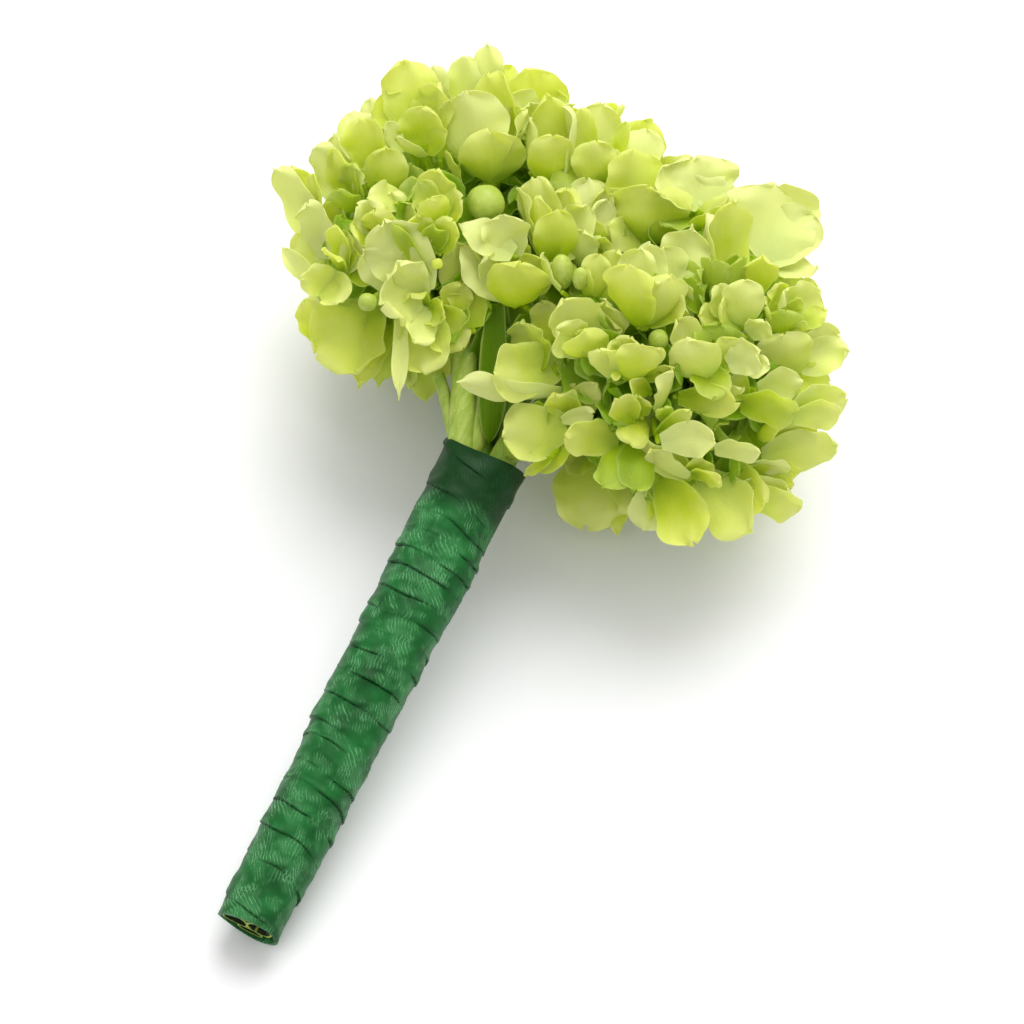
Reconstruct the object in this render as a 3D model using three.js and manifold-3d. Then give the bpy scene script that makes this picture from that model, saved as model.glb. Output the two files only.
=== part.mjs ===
// A boutonniere of green hydrangea, lying as it would on a table.
// Three cut sprigs carry loose domes of four-sepalled florets and round buds, and floral tape
// is wound round their stems as a handle. Millimetres, +Z up. +Y runs from the cut end of the
// stems to the flowers, +X across the head. The origin is at the foot of the overall box.

import * as THREE from "three";
import { mergeVertices } from "three/addons/utils/BufferGeometryUtils.js";
import Module from "manifold-3d";

const wasm = await Module();
wasm.setup();

// Handle: the wound tape and the three stems inside it
const TAPE_LENGTH = 66;
const TAPE_RADIUS_AT_CUT = 4.15;
const TAPE_RADIUS_AT_HEAD = 5.5;
const TAPE_WALL_AT_CUT = 0.48;
const TAPE_WALL_AT_HEAD = 0.75;
const TAPE_PITCH = 5.6;
const TAPE_LAP = 0.28;
const TAPE_SIDES = 20;
const TAPE_ROWS = 26;
const STEM_RADIUS = 1.45;
const STEM_SIDES = 8;
const STEM_STEPS = 20;
const STEM_SPREAD_AT_CUT = 1.86;
const STEM_SPREAD_AT_HEAD = 2.6;
const STEM_RECESS = 1.2;
const PITH_RADIUS = 1.1;
const PITH_DEPTH = 6;
const HANDLE_LEAN = THREE.MathUtils.degToRad(12);

// Head: three branching points, each the round knuckle that a stem ends in, and the stalks there
const NECK_STRAIGHT = 9;
const NECK_STEPS = 4;
const HUB_HEIGHT = 20.5;
const HUB_RADIUS = 2.6;
const STALK_FOOT_RADIUS = 0.65;
const STALK_WAIST_RADIUS = 0.5;
const STALK_EYE_RADIUS = 0.8;
const STALK_SIDES = 6;
const SEPAL_THICKNESS = 0.7;
const SEPAL_STEPS = 4;
const NOTCH_DEPTH = 0.48;
const NOTCH_SHARPNESS = 2.2;
const EYE_LEAN = THREE.MathUtils.degToRad(84);
const TIP_CURL = 10;
const BODY_SHARE = 0.35;
const BUD_SINK = 0.2;
const BALL_SIDES = 10;
const BALL_ROWS = 8;
const CLEARANCE = 0.3;

// The side that the places below are read from: azimuth and height of the viewer, in degrees
const VIEW_AZIMUTH = THREE.MathUtils.degToRad(26.7);
const VIEW_ELEVATION = THREE.MathUtils.degToRad(62);

// Each hub's place as that viewer sees it, in millimetres right of and above the end of the tape
const HUBS = {
  left: { right: -4.2, up: 26.5, stemTurn: 150 },
  middle: { right: 10.8, up: 28.0, stemTurn: 270 },
  right: { right: 20.8, up: 14.0, stemTurn: 30 },
};

// Florets. right and up: the eye of the floret as the viewer sees it, in millimetres from its hub.
// reach: distance of the eye from the hub. size: length of a sepal. open: angle of the sepal tips
// from the floret's axis, 90 being flat. behind: on the side that the viewer doesn't see.
const FLORETS = [
  { hub: "left", right: 4.4, up: 12.2, reach: 16.3, size: 12, open: 28, sepals: 4, turn: 20 },
  { hub: "left", right: -3.9, up: 14.6, reach: 17.8, size: 11.5, open: 50, sepals: 4, turn: 50 },
  { hub: "left", right: -9.4, up: 10.2, reach: 16.5, size: 8.5, open: 35, sepals: 4, turn: 0 },
  { hub: "left", right: -13.4, up: 5.6, reach: 17, size: 10, open: 45, sepals: 4, turn: 35 },
  { hub: "left", right: -17.2, up: 1.2, reach: 18.4, size: 8.5, open: 45, sepals: 4, turn: 10 },
  { hub: "left", right: -13.0, up: -3.4, reach: 18.5, size: 7, open: 60, sepals: 5, turn: 0 },
  { hub: "left", right: -7.9, up: 4.4, reach: 17.5, size: 5.5, open: 25, sepals: 4, turn: 60 },
  { hub: "left", right: -1.8, up: 4.2, reach: 18.5, size: 6.5, open: 45, sepals: 4, turn: 15 },
  { hub: "left", right: -6.4, up: -3.2, reach: 18.5, size: 8, open: 70, sepals: 4, turn: 40 },
  { hub: "left", right: -2.6, up: -9.8, reach: 18, size: 8.5, open: 62, sepals: 5, turn: 10 },
  { hub: "left", right: -11.0, up: -9.6, reach: 17, size: 9, open: 65, sepals: 4, turn: 25 },
  { hub: "left", right: 7.6, up: -1.8, reach: 17.5, size: 8, open: 52, sepals: 4, turn: 5 },
  { hub: "left", right: 4.0, up: 19.5, reach: 20.8, size: 8.5, open: 40, sepals: 4, turn: 45, behind: true },
  { hub: "left", right: -11.4, up: 9.4, reach: 17, size: 8, open: 55, sepals: 4, turn: 0, behind: true },
  { hub: "left", right: -14.0, up: -4.4, reach: 15.5, size: 8, open: 60, sepals: 4, turn: 30, behind: true },
  { hub: "left", right: -4.6, up: -7.2, reach: 16.4, size: 8.5, open: 66, sepals: 4, turn: 10, behind: true },
  { hub: "left", right: -3.4, up: 4.6, reach: 18, size: 8.5, open: 62, sepals: 4, turn: 55, behind: true },
  { hub: "middle", right: -2.9, up: 2.6, reach: 15.5, size: 7.5, open: 38, sepals: 5, turn: 20 },
  { hub: "middle", right: -3.6, up: 14.4, reach: 16.5, size: 9.5, open: 50, sepals: 4, turn: 0 },
  { hub: "middle", right: -1.0, up: 10.4, reach: 15.5, size: 8, open: 40, sepals: 4, turn: 35 },
  { hub: "middle", right: 3.4, up: 9.8, reach: 15, size: 8.5, open: 50, sepals: 4, turn: 10 },
  { hub: "middle", right: 7.6, up: 5.6, reach: 16, size: 10.5, open: 62, sepals: 4, turn: 45 },
  { hub: "middle", right: 3.0, up: 2.2, reach: 14, size: 6.5, open: 55, sepals: 4, turn: 60 },
  { hub: "middle", right: 2.0, up: 10.0, reach: 15, size: 8.5, open: 58, sepals: 4, turn: 20, behind: true },
  { hub: "right", right: 4.6, up: 17.8, reach: 19, size: 11, open: 60, sepals: 4, turn: 40 },
  { hub: "right", right: 13.6, up: 12.0, reach: 19.2, size: 12.5, open: 62, sepals: 4, turn: 0 },
  { hub: "right", right: 8.6, up: 10.4, reach: 18, size: 8.5, open: 38, sepals: 4, turn: 25 },
  { hub: "right", right: 9.4, up: 5.0, reach: 18.5, size: 6, open: 40, sepals: 4, turn: 50 },
  { hub: "right", right: 14.6, up: 4.8, reach: 18.5, size: 7.5, open: 52, sepals: 4, turn: 15 },
  { hub: "right", right: 3.2, up: 10.0, reach: 18, size: 7, open: 45, sepals: 4, turn: 0 },
  { hub: "right", right: -0.8, up: 6.0, reach: 19, size: 8.5, open: 35, sepals: 5, turn: 30 },
  { hub: "right", right: -5.8, up: 7.6, reach: 16, size: 6.5, open: 40, sepals: 4, turn: 10 },
  { hub: "right", right: -8.2, up: 1.8, reach: 17.5, size: 6.5, open: 48, sepals: 4, turn: 45 },
  { hub: "right", right: -3.2, up: -1.8, reach: 18.5, size: 5.5, open: 35, sepals: 4, turn: 20 },
  { hub: "right", right: -14.4, up: -1.0, reach: 17.5, size: 8.5, open: 55, sepals: 4, turn: 0 },
  { hub: "right", right: -9.6, up: -7.8, reach: 17, size: 9, open: 62, sepals: 4, turn: 30 },
  { hub: "right", right: 7.0, up: -0.8, reach: 19, size: 8, open: 45, sepals: 4, turn: 15 },
  { hub: "right", right: 16.8, up: -1.0, reach: 19.3, size: 9.5, open: 50, sepals: 4, turn: 40 },
  { hub: "right", right: 12.6, up: -5.8, reach: 19, size: 6.5, open: 55, sepals: 4, turn: 0 },
  { hub: "right", right: 17.4, up: -7.6, reach: 20.3, size: 9, open: 52, sepals: 4, turn: 30 },
  { hub: "right", right: 1.8, up: -6.4, reach: 17.5, size: 6.5, open: 45, sepals: 5, turn: 10 },
  { hub: "right", right: -4.4, up: -11.0, reach: 18, size: 7.5, open: 58, sepals: 4, turn: 50 },
  { hub: "right", right: 6.4, up: -13.4, reach: 19.5, size: 9, open: 50, sepals: 5, turn: 20 },
  { hub: "right", right: 0.2, up: -16.4, reach: 20.2, size: 9.5, open: 55, sepals: 4, turn: 0 },
  { hub: "right", right: 12.6, up: -14.2, reach: 20.6, size: 9.5, open: 60, sepals: 4, turn: 35 },
  { hub: "right", right: 12.2, up: -12.4, reach: 18, size: 8, open: 55, sepals: 4, turn: 10, behind: true },
  { hub: "right", right: -4.6, up: -16.9, reach: 18.4, size: 10.5, open: 66, sepals: 4, turn: 30, behind: true },
  { hub: "right", right: 3.0, up: -7.2, reach: 16.6, size: 8.5, open: 66, sepals: 4, turn: 15, behind: true },
  { hub: "right", right: 13.4, up: 3.4, reach: 16.5, size: 9, open: 60, sepals: 4, turn: 45, behind: true },
  { hub: "right", right: 4.6, up: 7.2, reach: 18.5, size: 9, open: 60, sepals: 4, turn: 0, behind: true },
];

// Unopened buds, placed the same way
const BUDS = [
  { hub: "left", right: 3.9, up: 5.4, reach: 14.5, radius: 2.25 },
  { hub: "left", right: -9.8, up: -6.6, reach: 20.5, radius: 1.2 },
  { hub: "middle", right: 1.0, up: -2.0, reach: 15.5, radius: 2.0 },
  { hub: "middle", right: -2.4, up: -4.6, reach: 14.5, radius: 1.7 },
  { hub: "right", right: 0.4, up: 0.4, reach: 18, radius: 1.6 },
  { hub: "right", right: 5.6, up: -4.2, reach: 18.5, radius: 1.4 },
];

const SEPAL_MATERIAL = { color: 0xc3d94a, roughness: 0.5, metalness: 0 };
const BUD_MATERIAL = { color: 0x9fc43c, roughness: 0.45, metalness: 0 };
const STEM_MATERIAL = { color: 0x8aa63a, roughness: 0.55, metalness: 0 };
const TAPE_MATERIAL = { color: 0x2a7338, roughness: 0.5, metalness: 0 };

// The viewer's right, up and towards-the-eye directions
const seenRight = new THREE.Vector3(Math.cos(VIEW_AZIMUTH), Math.sin(VIEW_AZIMUTH), 0);
const seenTowards = new THREE.Vector3(
  Math.sin(VIEW_AZIMUTH) * Math.cos(VIEW_ELEVATION),
  -Math.cos(VIEW_AZIMUTH) * Math.cos(VIEW_ELEVATION),
  Math.sin(VIEW_ELEVATION),
);
const seenUp = new THREE.Vector3().crossVectors(seenTowards, seenRight);

const handleAxis = new THREE.Vector3(0, Math.cos(HANDLE_LEAN), Math.sin(HANDLE_LEAN));
const handleSide = new THREE.Vector3(1, 0, 0);
const handleTop = new THREE.Vector3().crossVectors(handleSide, handleAxis);
const cutEnd = new THREE.Vector3(0, 0, TAPE_RADIUS_AT_CUT * Math.cos(HANDLE_LEAN));
const tapeEnd = cutEnd.clone().addScaledVector(handleAxis, TAPE_LENGTH);

// A geometry with its shared corners merged, which is done before it is turned
function welded(geometry) {
  const bare = geometry.clone();
  bare.deleteAttribute("normal");
  bare.deleteAttribute("uv");
  return mergeVertices(bare, 1e-4);
}

// A closed geometry as a solid, without the flat faces that a lathe leaves at its axis
function solidOf(geometry) {
  const { attributes, index } = welded(geometry);
  const faces = [];
  for (let i = 0; i < index.count; i += 3) {
    const [a, b, c] = [index.getX(i), index.getX(i + 1), index.getX(i + 2)];
    if (a !== b && b !== c && c !== a) faces.push(a, b, c);
  }
  const vertProperties = attributes.position.array;
  return new wasm.Manifold(
    new wasm.Mesh({ numProp: 3, vertProperties, triVerts: new Uint32Array(faces) }),
  );
}

function namedMesh(name, solid, look) {
  const { vertProperties, triVerts } = solid.getMesh();
  const geometry = new THREE.BufferGeometry();
  geometry.setAttribute("position", new THREE.BufferAttribute(vertProperties, 3));
  geometry.setIndex(new THREE.BufferAttribute(triVerts, 1));
  geometry.computeVertexNormals();
  const mesh = new THREE.Mesh(geometry, new THREE.MeshStandardMaterial(look));
  mesh.name = name;
  return mesh;
}

// The largest body of a solid that a cut may have left in several
function largestBody(solid) {
  const bodies = solid.decompose();
  return bodies.reduce((best, body) => (body.volume() > best.volume() ? body : best));
}

// Turns a geometry made round +Y to stand on a place, facing a direction
function stood(geometry, place, facing) {
  const lie = new THREE.Quaternion().setFromUnitVectors(new THREE.Vector3(0, 1, 0), facing);
  return welded(geometry).applyQuaternion(lie).translate(place.x, place.y, place.z);
}

function latheOf(profile, sides) {
  return new THREE.LatheGeometry(
    profile.map(([radius, height]) => new THREE.Vector2(radius, height)),
    sides,
  );
}

// A hub's centre: seen at its place, at the hub height above the table
function hubCentre({ right, up }) {
  const seen = tapeEnd.clone().addScaledVector(seenRight, right).addScaledVector(seenUp, up);
  return seen.addScaledVector(seenTowards, (HUB_HEIGHT - seen.z) / seenTowards.z);
}

// Each floret and bud with its hub's centre, the way it faces, its eye and the middle of its body
function placed(piece) {
  const { right, up, reach, behind } = piece;
  const depth = Math.sqrt(reach * reach - right * right - up * up);
  const facing = new THREE.Vector3()
    .addScaledVector(seenRight, right)
    .addScaledVector(seenUp, up)
    .addScaledVector(seenTowards, behind ? -depth : depth)
    .normalize();
  const centre = hubCentre(HUBS[piece.hub]);
  const eye = centre.clone().addScaledVector(facing, reach);
  const bulk = piece.size ?? piece.radius * 2;
  const middle = eye.clone().addScaledVector(facing, bulk * BODY_SHARE);
  return { ...piece, centre, facing, eye, bulk, middle };
}

// How far the sepals reach at a turn round the floret: full at a sepal's middle, half between two
function sepalReach(angle, sepals) {
  const turns = (angle * sepals) / (2 * Math.PI) + sepals;
  const off = turns % 1;
  const fromMiddle = 2 * Math.min(off, 1 - off);
  return 1 - NOTCH_DEPTH * Math.pow(fromMiddle, NOTCH_SHARPNESS);
}

// The sepals of a floret: a thin disc, drawn in between them and bent up into a cup.
// spare thickens it, for telling what lies near.
function sepalSolid({ size, open, sepals, turn, facing, eye }, spare) {
  const half = SEPAL_THICKNESS / 2 + spare;
  const profile = [[0, -half], [0.5, -half], [1, -half], [1, half], [0, half]];
  const cup = latheOf(profile, sepals * SEPAL_STEPS);
  const places = cup.attributes.position;
  const tipLean = THREE.MathUtils.degToRad(open - TIP_CURL);
  for (let i = 0; i < places.count; i++) {
    const [x, y, z] = [places.getX(i), places.getY(i), places.getZ(i)];
    if (Math.hypot(x, z) < 1e-6) continue;
    const angle = Math.atan2(z, x);
    const along = Math.hypot(x, z) * sepalReach(angle, sepals);
    const bend = (EYE_LEAN - tipLean) * along;
    const lean = EYE_LEAN - bend;
    const mean = EYE_LEAN - bend / 2;
    const chord = bend ? (size * along * 2 * Math.sin(bend / 2)) / bend : size * along;
    const out = chord * Math.sin(mean) - y * Math.cos(lean);
    const rise = chord * Math.cos(mean) + y * Math.sin(lean);
    places.setXYZ(i, out * Math.cos(angle), rise, out * Math.sin(angle));
  }
  cup.rotateY(THREE.MathUtils.degToRad(turn));
  return solidOf(stood(cup, eye, facing));
}

// A floret's or bud's stalk, from the hub's knuckle to its eye. spare widens it.
function stalkSolid({ reach, facing, eye }, spare) {
  const foot = HUB_RADIUS + CLEARANCE - spare - reach;
  const profile = [
    [0, foot],
    [STALK_FOOT_RADIUS + spare, foot],
    [STALK_WAIST_RADIUS + spare, foot / 2],
    [STALK_EYE_RADIUS + spare, spare],
    [0, spare],
  ];
  return solidOf(stood(latheOf(profile, STALK_SIDES), eye, facing));
}

function budSolid({ radius, facing, eye }, spare) {
  const ball = new THREE.SphereGeometry(radius + spare, BALL_SIDES, BALL_ROWS);
  ball.translate(0, radius * (1 - BUD_SINK), 0);
  return solidOf(stood(ball, eye, facing));
}

function boxesMeet(one, other) {
  const [a, b] = [one.boundingBox(), other.boundingBox()];
  return [0, 1, 2].every((i) => a.min[i] < b.max[i] && b.min[i] < a.max[i]);
}

function clearOf(solid, others) {
  return others
    .filter((other) => boxesMeet(solid, other))
    .reduce((kept, other) => kept.subtract(other), solid);
}

// The piece's side of a plane that faces another piece, less half the clearance
function nearSide(solid, towards, limit) {
  return solid.trimByPlane([-towards.x, -towards.y, -towards.z], CLEARANCE / 2 - limit);
}

// Sepals cut back to their own share of the room between them and each one they would touch
function shareRoom(piece, others) {
  const touched = others.filter(
    (other) => boxesMeet(piece.top, other.room) && !piece.top.intersect(other.room).isEmpty(),
  );
  return touched.reduce((kept, other) => {
    const towards = other.middle.clone().sub(piece.middle);
    const distance = towards.length();
    towards.divideScalar(distance);
    const share = (distance * piece.bulk) / (piece.bulk + other.bulk);
    return nearSide(kept, towards, towards.dot(piece.middle) + share);
  }, piece.top);
}

// A stalk cut back beside the stalks that crowd it at the knuckle
function shareKnuckle(solid, piece, others) {
  let kept = solid;
  for (const other of others) {
    if (other.hub !== piece.hub) continue;
    const towards = other.facing.clone().sub(piece.facing).normalize();
    kept = nearSide(kept, towards, towards.dot(piece.centre));
  }
  return kept;
}

// The path of one stem: up the handle beside its axis, then over to its hub
function stemPath(hub) {
  const turn = THREE.MathUtils.degToRad(hub.stemTurn);
  const aside = new THREE.Vector3()
    .addScaledVector(handleSide, Math.cos(turn))
    .addScaledVector(handleTop, Math.sin(turn));
  const start = cutEnd
    .clone()
    .addScaledVector(handleAxis, STEM_RECESS)
    .addScaledVector(aside, STEM_SPREAD_AT_CUT);
  const leave = tapeEnd.clone().addScaledVector(aside, STEM_SPREAD_AT_HEAD);
  const guide = leave.clone().addScaledVector(handleAxis, NECK_STRAIGHT);
  const bend = new THREE.QuadraticBezierCurve3(leave, guide, hubCentre(hub));
  const handle = [0, 0.25, 0.5, 0.75, 0.93, 1].map((share) => start.clone().lerp(leave, share));
  return [...handle, ...bend.getPoints(NECK_STEPS).slice(1)];
}

function stemTube(path, radius) {
  const section = new THREE.Shape();
  for (let side = 0; side < STEM_SIDES; side++) {
    const angle = (side / STEM_SIDES) * 2 * Math.PI;
    const place = [radius * Math.cos(angle), radius * Math.sin(angle)];
    if (side) section.lineTo(...place);
    else section.moveTo(...place);
  }
  const extrudePath = new THREE.CatmullRomCurve3(path);
  return new THREE.ExtrudeGeometry(section, { steps: STEM_STEPS, extrudePath, bevelEnabled: false });
}

// A stem with its knuckle. spare widens it, for cutting room out of what lies near.
function stemSolid(hub, spare) {
  const path = stemPath(hub);
  const centre = hubCentre(hub);
  const knuckle = new THREE.SphereGeometry(HUB_RADIUS + spare, BALL_SIDES, BALL_ROWS);
  knuckle.translate(centre.x, centre.y, centre.z);
  return solidOf(stemTube(path, STEM_RADIUS + spare)).add(solidOf(knuckle));
}

function pithHole(hub) {
  const hole = new THREE.CylinderGeometry(PITH_RADIUS, PITH_RADIUS, PITH_DEPTH * 2, STEM_SIDES);
  return solidOf(stood(hole, stemPath(hub)[0], handleAxis));
}

// The tape: a tapered sleeve whose outside steps up once a turn, where one lap ends on the next
function tapeSolid() {
  const profile = [[TAPE_RADIUS_AT_CUT - TAPE_WALL_AT_CUT, 0]];
  for (let row = 0; row <= TAPE_ROWS; row++) {
    const share = row / TAPE_ROWS;
    const radius = THREE.MathUtils.lerp(TAPE_RADIUS_AT_CUT, TAPE_RADIUS_AT_HEAD, share);
    profile.push([radius, share * TAPE_LENGTH]);
  }
  profile.push([TAPE_RADIUS_AT_HEAD - TAPE_WALL_AT_HEAD, TAPE_LENGTH], profile[0]);
  const sleeve = latheOf(profile, TAPE_SIDES);
  const places = sleeve.attributes.position;
  for (let i = 0; i < places.count; i++) {
    const [x, y, z] = [places.getX(i), places.getY(i), places.getZ(i)];
    const radius = Math.hypot(x, z);
    const outside = THREE.MathUtils.lerp(TAPE_RADIUS_AT_CUT, TAPE_RADIUS_AT_HEAD, y / TAPE_LENGTH);
    if (radius < outside - TAPE_LAP || y < 0.01) continue;
    const lap = (y / TAPE_PITCH + Math.atan2(z, x) / (2 * Math.PI) + 2) % 1;
    const scale = (radius - TAPE_LAP * lap) / radius;
    places.setXYZ(i, x * scale, y, z * scale);
  }
  return solidOf(stood(sleeve, cutEnd, handleAxis));
}

const boutonniere = new THREE.Group();
boutonniere.add(namedMesh("tape_wrap", tapeSolid(), TAPE_MATERIAL));
for (const [name, hub] of Object.entries(HUBS)) {
  const stem = stemSolid(hub, 0).subtract(pithHole(hub));
  boutonniere.add(namedMesh(`${name}_stem`, stem, STEM_MATERIAL));
}

const stemRoom = Object.values(HUBS).map((hub) => stemSolid(hub, CLEARANCE));
const pieces = [...FLORETS, ...BUDS].map(placed).map((piece) => ({
  ...piece,
  top: piece.size ? sepalSolid(piece, 0) : budSolid(piece, 0),
  room: piece.size ? sepalSolid(piece, CLEARANCE) : budSolid(piece, CLEARANCE),
  stalkRoom: stalkSolid(piece, CLEARANCE),
}));
const made = {};
for (const piece of pieces) {
  const others = pieces.filter((other) => other !== piece);
  const share = shareRoom(piece, others).trimByPlane([0, 0, 1], 0);
  const top = clearOf(share, [...stemRoom, ...others.map((other) => other.stalkRoom)]);
  const stalk = clearOf(shareKnuckle(stalkSolid(piece, 0), piece, others), stemRoom);
  const key = `${piece.hub}_${piece.size ? "floret" : "bud"}`;
  made[key] = (made[key] ?? 0) + 1;
  const name = `${key}_${String(made[key]).padStart(2, "0")}`;
  const look = piece.size ? SEPAL_MATERIAL : BUD_MATERIAL;
  boutonniere.add(namedMesh(name, largestBody(top.add(stalk)), look));
}

// The origin goes to the foot of the overall box, in the middle
const box = new THREE.Box3().setFromObject(boutonniere);
const middle = box.getCenter(new THREE.Vector3());
boutonniere.position.set(-middle.x, -middle.y, -box.min.z);

export default boutonniere;
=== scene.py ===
# A boutonniere of green hydrangea lying on a pale table, seen from above its cut end.
# Every sepal, bud, stem and turn of tape is modelled here and stands where the frame's node stands.
import functools
import math
import random

import bpy
import numpy as np
from mathutils import Matrix


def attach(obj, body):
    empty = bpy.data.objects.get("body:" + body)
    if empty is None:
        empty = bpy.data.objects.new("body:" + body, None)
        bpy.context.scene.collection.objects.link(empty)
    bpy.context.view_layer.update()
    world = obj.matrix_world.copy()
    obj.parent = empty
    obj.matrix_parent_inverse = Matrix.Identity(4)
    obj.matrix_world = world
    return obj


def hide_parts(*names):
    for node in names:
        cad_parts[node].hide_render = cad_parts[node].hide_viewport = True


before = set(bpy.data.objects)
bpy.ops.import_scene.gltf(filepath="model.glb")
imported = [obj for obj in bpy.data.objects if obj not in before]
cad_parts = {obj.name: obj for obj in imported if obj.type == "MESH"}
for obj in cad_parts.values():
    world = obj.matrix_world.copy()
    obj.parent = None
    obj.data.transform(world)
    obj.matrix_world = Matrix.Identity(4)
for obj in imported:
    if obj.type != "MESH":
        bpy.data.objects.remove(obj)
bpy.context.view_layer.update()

mm = 0.001
print("frame:", len(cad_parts), "nodes")

# The viewer: degrees round and above, and millimetres from and beside the end of the tape
view = {"azimuth": 26.7, "elevation": 62.0, "distance": 533.0, "lens": 149.9, "sensor": 36.0,
        "nearest": 10.0, "aimRight": 3.25, "aimUp": -6.625}
photo = {"side": 1024, "perMillimetre": 8.0}    # in pixels


def unit(vector):
    return vector / np.linalg.norm(vector)


azimuth, elevation = math.radians(view["azimuth"]), math.radians(view["elevation"])
seenRight = np.array([math.cos(azimuth), math.sin(azimuth), 0.0])
seenTowards = np.array([
    math.sin(azimuth) * math.cos(elevation),
    -math.cos(azimuth) * math.cos(elevation),
    math.sin(elevation),
])
seenUp = np.cross(seenTowards, seenRight)


def asSeen(right, up, towards):
    return seenRight * right + seenUp * up + seenTowards * towards


def nodePoints(name):
    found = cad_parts[name].data.vertices
    points = np.empty(len(found) * 3)
    found.foreach_get("co", points)
    return points.reshape(-1, 3) / mm


# Where things are, worked out from the frame, in millimetres. knuckle: the radius of the ball
# where a stem's stalks spread. ringNear, ringFar: how far from its middle a stalk is looked for.
# thread, flat: how near a stalk's line, or an end, a point is that counts as on it
handle = {"lean": 12.0, "knuckle": 2.6, "ringNear": 6.5, "ringFar": 12.8, "thread": 0.3,
          "cutRadius": 5.2, "flat": 0.05}
handleLean = math.radians(handle["lean"])
handleAxis = np.array([0.0, math.cos(handleLean), math.sin(handleLean)])
handleSide = np.array([1.0, 0.0, 0.0])
handleTop = np.cross(handleSide, handleAxis)
tapePoints = nodePoints("tape_wrap")
tapeAlong = tapePoints @ handleAxis
tapeEnd = tapePoints[tapeAlong > tapeAlong.max() - handle["flat"]].mean(axis=0)
cutEnd = tapePoints[tapeAlong < tapeAlong.min() + handle["flat"]].mean(axis=0)
tapeLength = float((tapeEnd - cutEnd) @ handleAxis)
hubs = {}
for hubName in ("left", "middle", "right"):
    points = nodePoints(f"{hubName}_stem")
    hubs[hubName] = points[points[:, 1].argmax()] - np.array([0.0, handle["knuckle"], 0.0])


# The middle of a floret's or bud's head, the way that its stalk points, and how far it reaches
def placeOf(name):
    centre = hubs[name.split("_")[0]]
    points = nodePoints(name) - centre
    distance = np.linalg.norm(points, axis=1)
    ring = points[(distance > handle["ringNear"]) & (distance < handle["ringFar"])]
    facing = unit(ring.mean(axis=0))
    off = np.linalg.norm(points - np.outer(points @ facing, facing), axis=1)
    return centre, facing, float((points[off < handle["thread"]] @ facing).max())


# A point seen at x and y in the photograph, at a depth in millimetres towards the viewer from
# the end of the tape
def seenAt(x, y, depth):
    middle = photo["side"] / 2
    share = (1 - depth / view["distance"]) / photo["perMillimetre"]
    aim = tapeEnd + asSeen(view["aimRight"], view["aimUp"], 0)
    return aim + asSeen((x - middle) * share, (middle - y) * share, depth)


# Meshes are gathered as rings and sheets of points, then made into one object for each piece
marks = ("along", "across", "tone")    # what each point tells its material


def newPiece():
    return {"points": [], "faces": [], "along": [], "across": [], "tone": [], "count": 0}


def addPoints(piece, points, along, across, tone):
    first = piece["count"]
    piece["points"].append(points.reshape(-1, 3))
    for mark, value in zip(marks, (along, across, tone)):
        piece[mark].append(np.broadcast_to(value, points.shape[:-1]).reshape(-1))
    piece["count"] += points.size // 3
    return first


# A closed thin leaf from a sheet of points: both faces and the rim that joins them
def addLeaf(piece, sheet, halfThickness, along, across, tone):
    rows, columns = sheet.shape[:2]
    normal = np.cross(np.gradient(sheet, axis=0), np.gradient(sheet, axis=1))
    normal /= np.maximum(np.linalg.norm(normal, axis=2, keepdims=True), 1e-9)
    offset = normal * halfThickness[..., None]
    index = np.arange(rows * columns).reshape(rows, columns)
    quads = np.stack([index[:-1, :-1], index[1:, :-1], index[1:, 1:], index[:-1, 1:]], axis=-1)
    quads = quads.reshape(-1, 4)
    upper = addPoints(piece, sheet + offset, along, across, tone)
    lower = addPoints(piece, sheet - offset, along, across, tone)
    rim = np.concatenate([index[:-1, 0], index[-1, :-1], index[:0:-1, -1], index[0, :0:-1]])
    after = np.roll(rim, -1)
    side = np.stack([rim + upper, rim + lower, after + lower, after + upper], axis=-1)
    piece["faces"] += (quads + upper).tolist() + (quads[:, ::-1] + lower).tolist() + side.tolist()


# A closed tube through rings of points, each end drawn to its middle
def addTube(piece, rings, along, across, tone):
    count, sides = rings.shape[:2]
    first = addPoints(piece, rings, along, across, tone)
    index = np.arange(count * sides).reshape(count, sides) + first
    turned = np.roll(index, -1, axis=1)
    quads = np.stack([index[:-1], turned[:-1], turned[1:], index[1:]], axis=-1)
    piece["faces"] += quads.reshape(-1, 4).tolist()
    for end, flip in ((0, True), (count - 1, False)):
        middle = addPoints(piece, rings[end].mean(axis=0)[None], float(end > 0), 0.0,
                           np.ravel(tone)[-1 if end else 0])
        fan = np.stack([index[end], turned[end], np.full(sides, middle)], axis=-1)
        piece["faces"] += (fan[:, ::-1] if flip else fan).tolist()


# Rings round a path, each turned as little as can be from the one before
def ringsAlong(path, radii, sides, lobes=0, lobeDepth=0.0, turn=0.0):
    path = np.asarray(path, float)
    tangent = np.gradient(path, axis=0)
    tangent /= np.linalg.norm(tangent, axis=1, keepdims=True)
    start = [0.0, 0.0, 1.0] if abs(tangent[0][2]) < 0.9 else [1.0, 0.0, 0.0]
    side = unit(np.cross(tangent[0], start))
    angles = np.arange(sides) / sides * 2 * math.pi + turn
    shape = 1 + lobeDepth * np.cos(lobes * angles)
    rings = []
    for point, along, radius in zip(path, tangent, radii):
        side = unit(side - (side @ along) * along)
        other = np.cross(along, side)
        ring = np.outer(np.cos(angles) * shape, side) + np.outer(np.sin(angles) * shape, other)
        rings.append(point + ring * radius)
    return np.array(rings)


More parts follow.
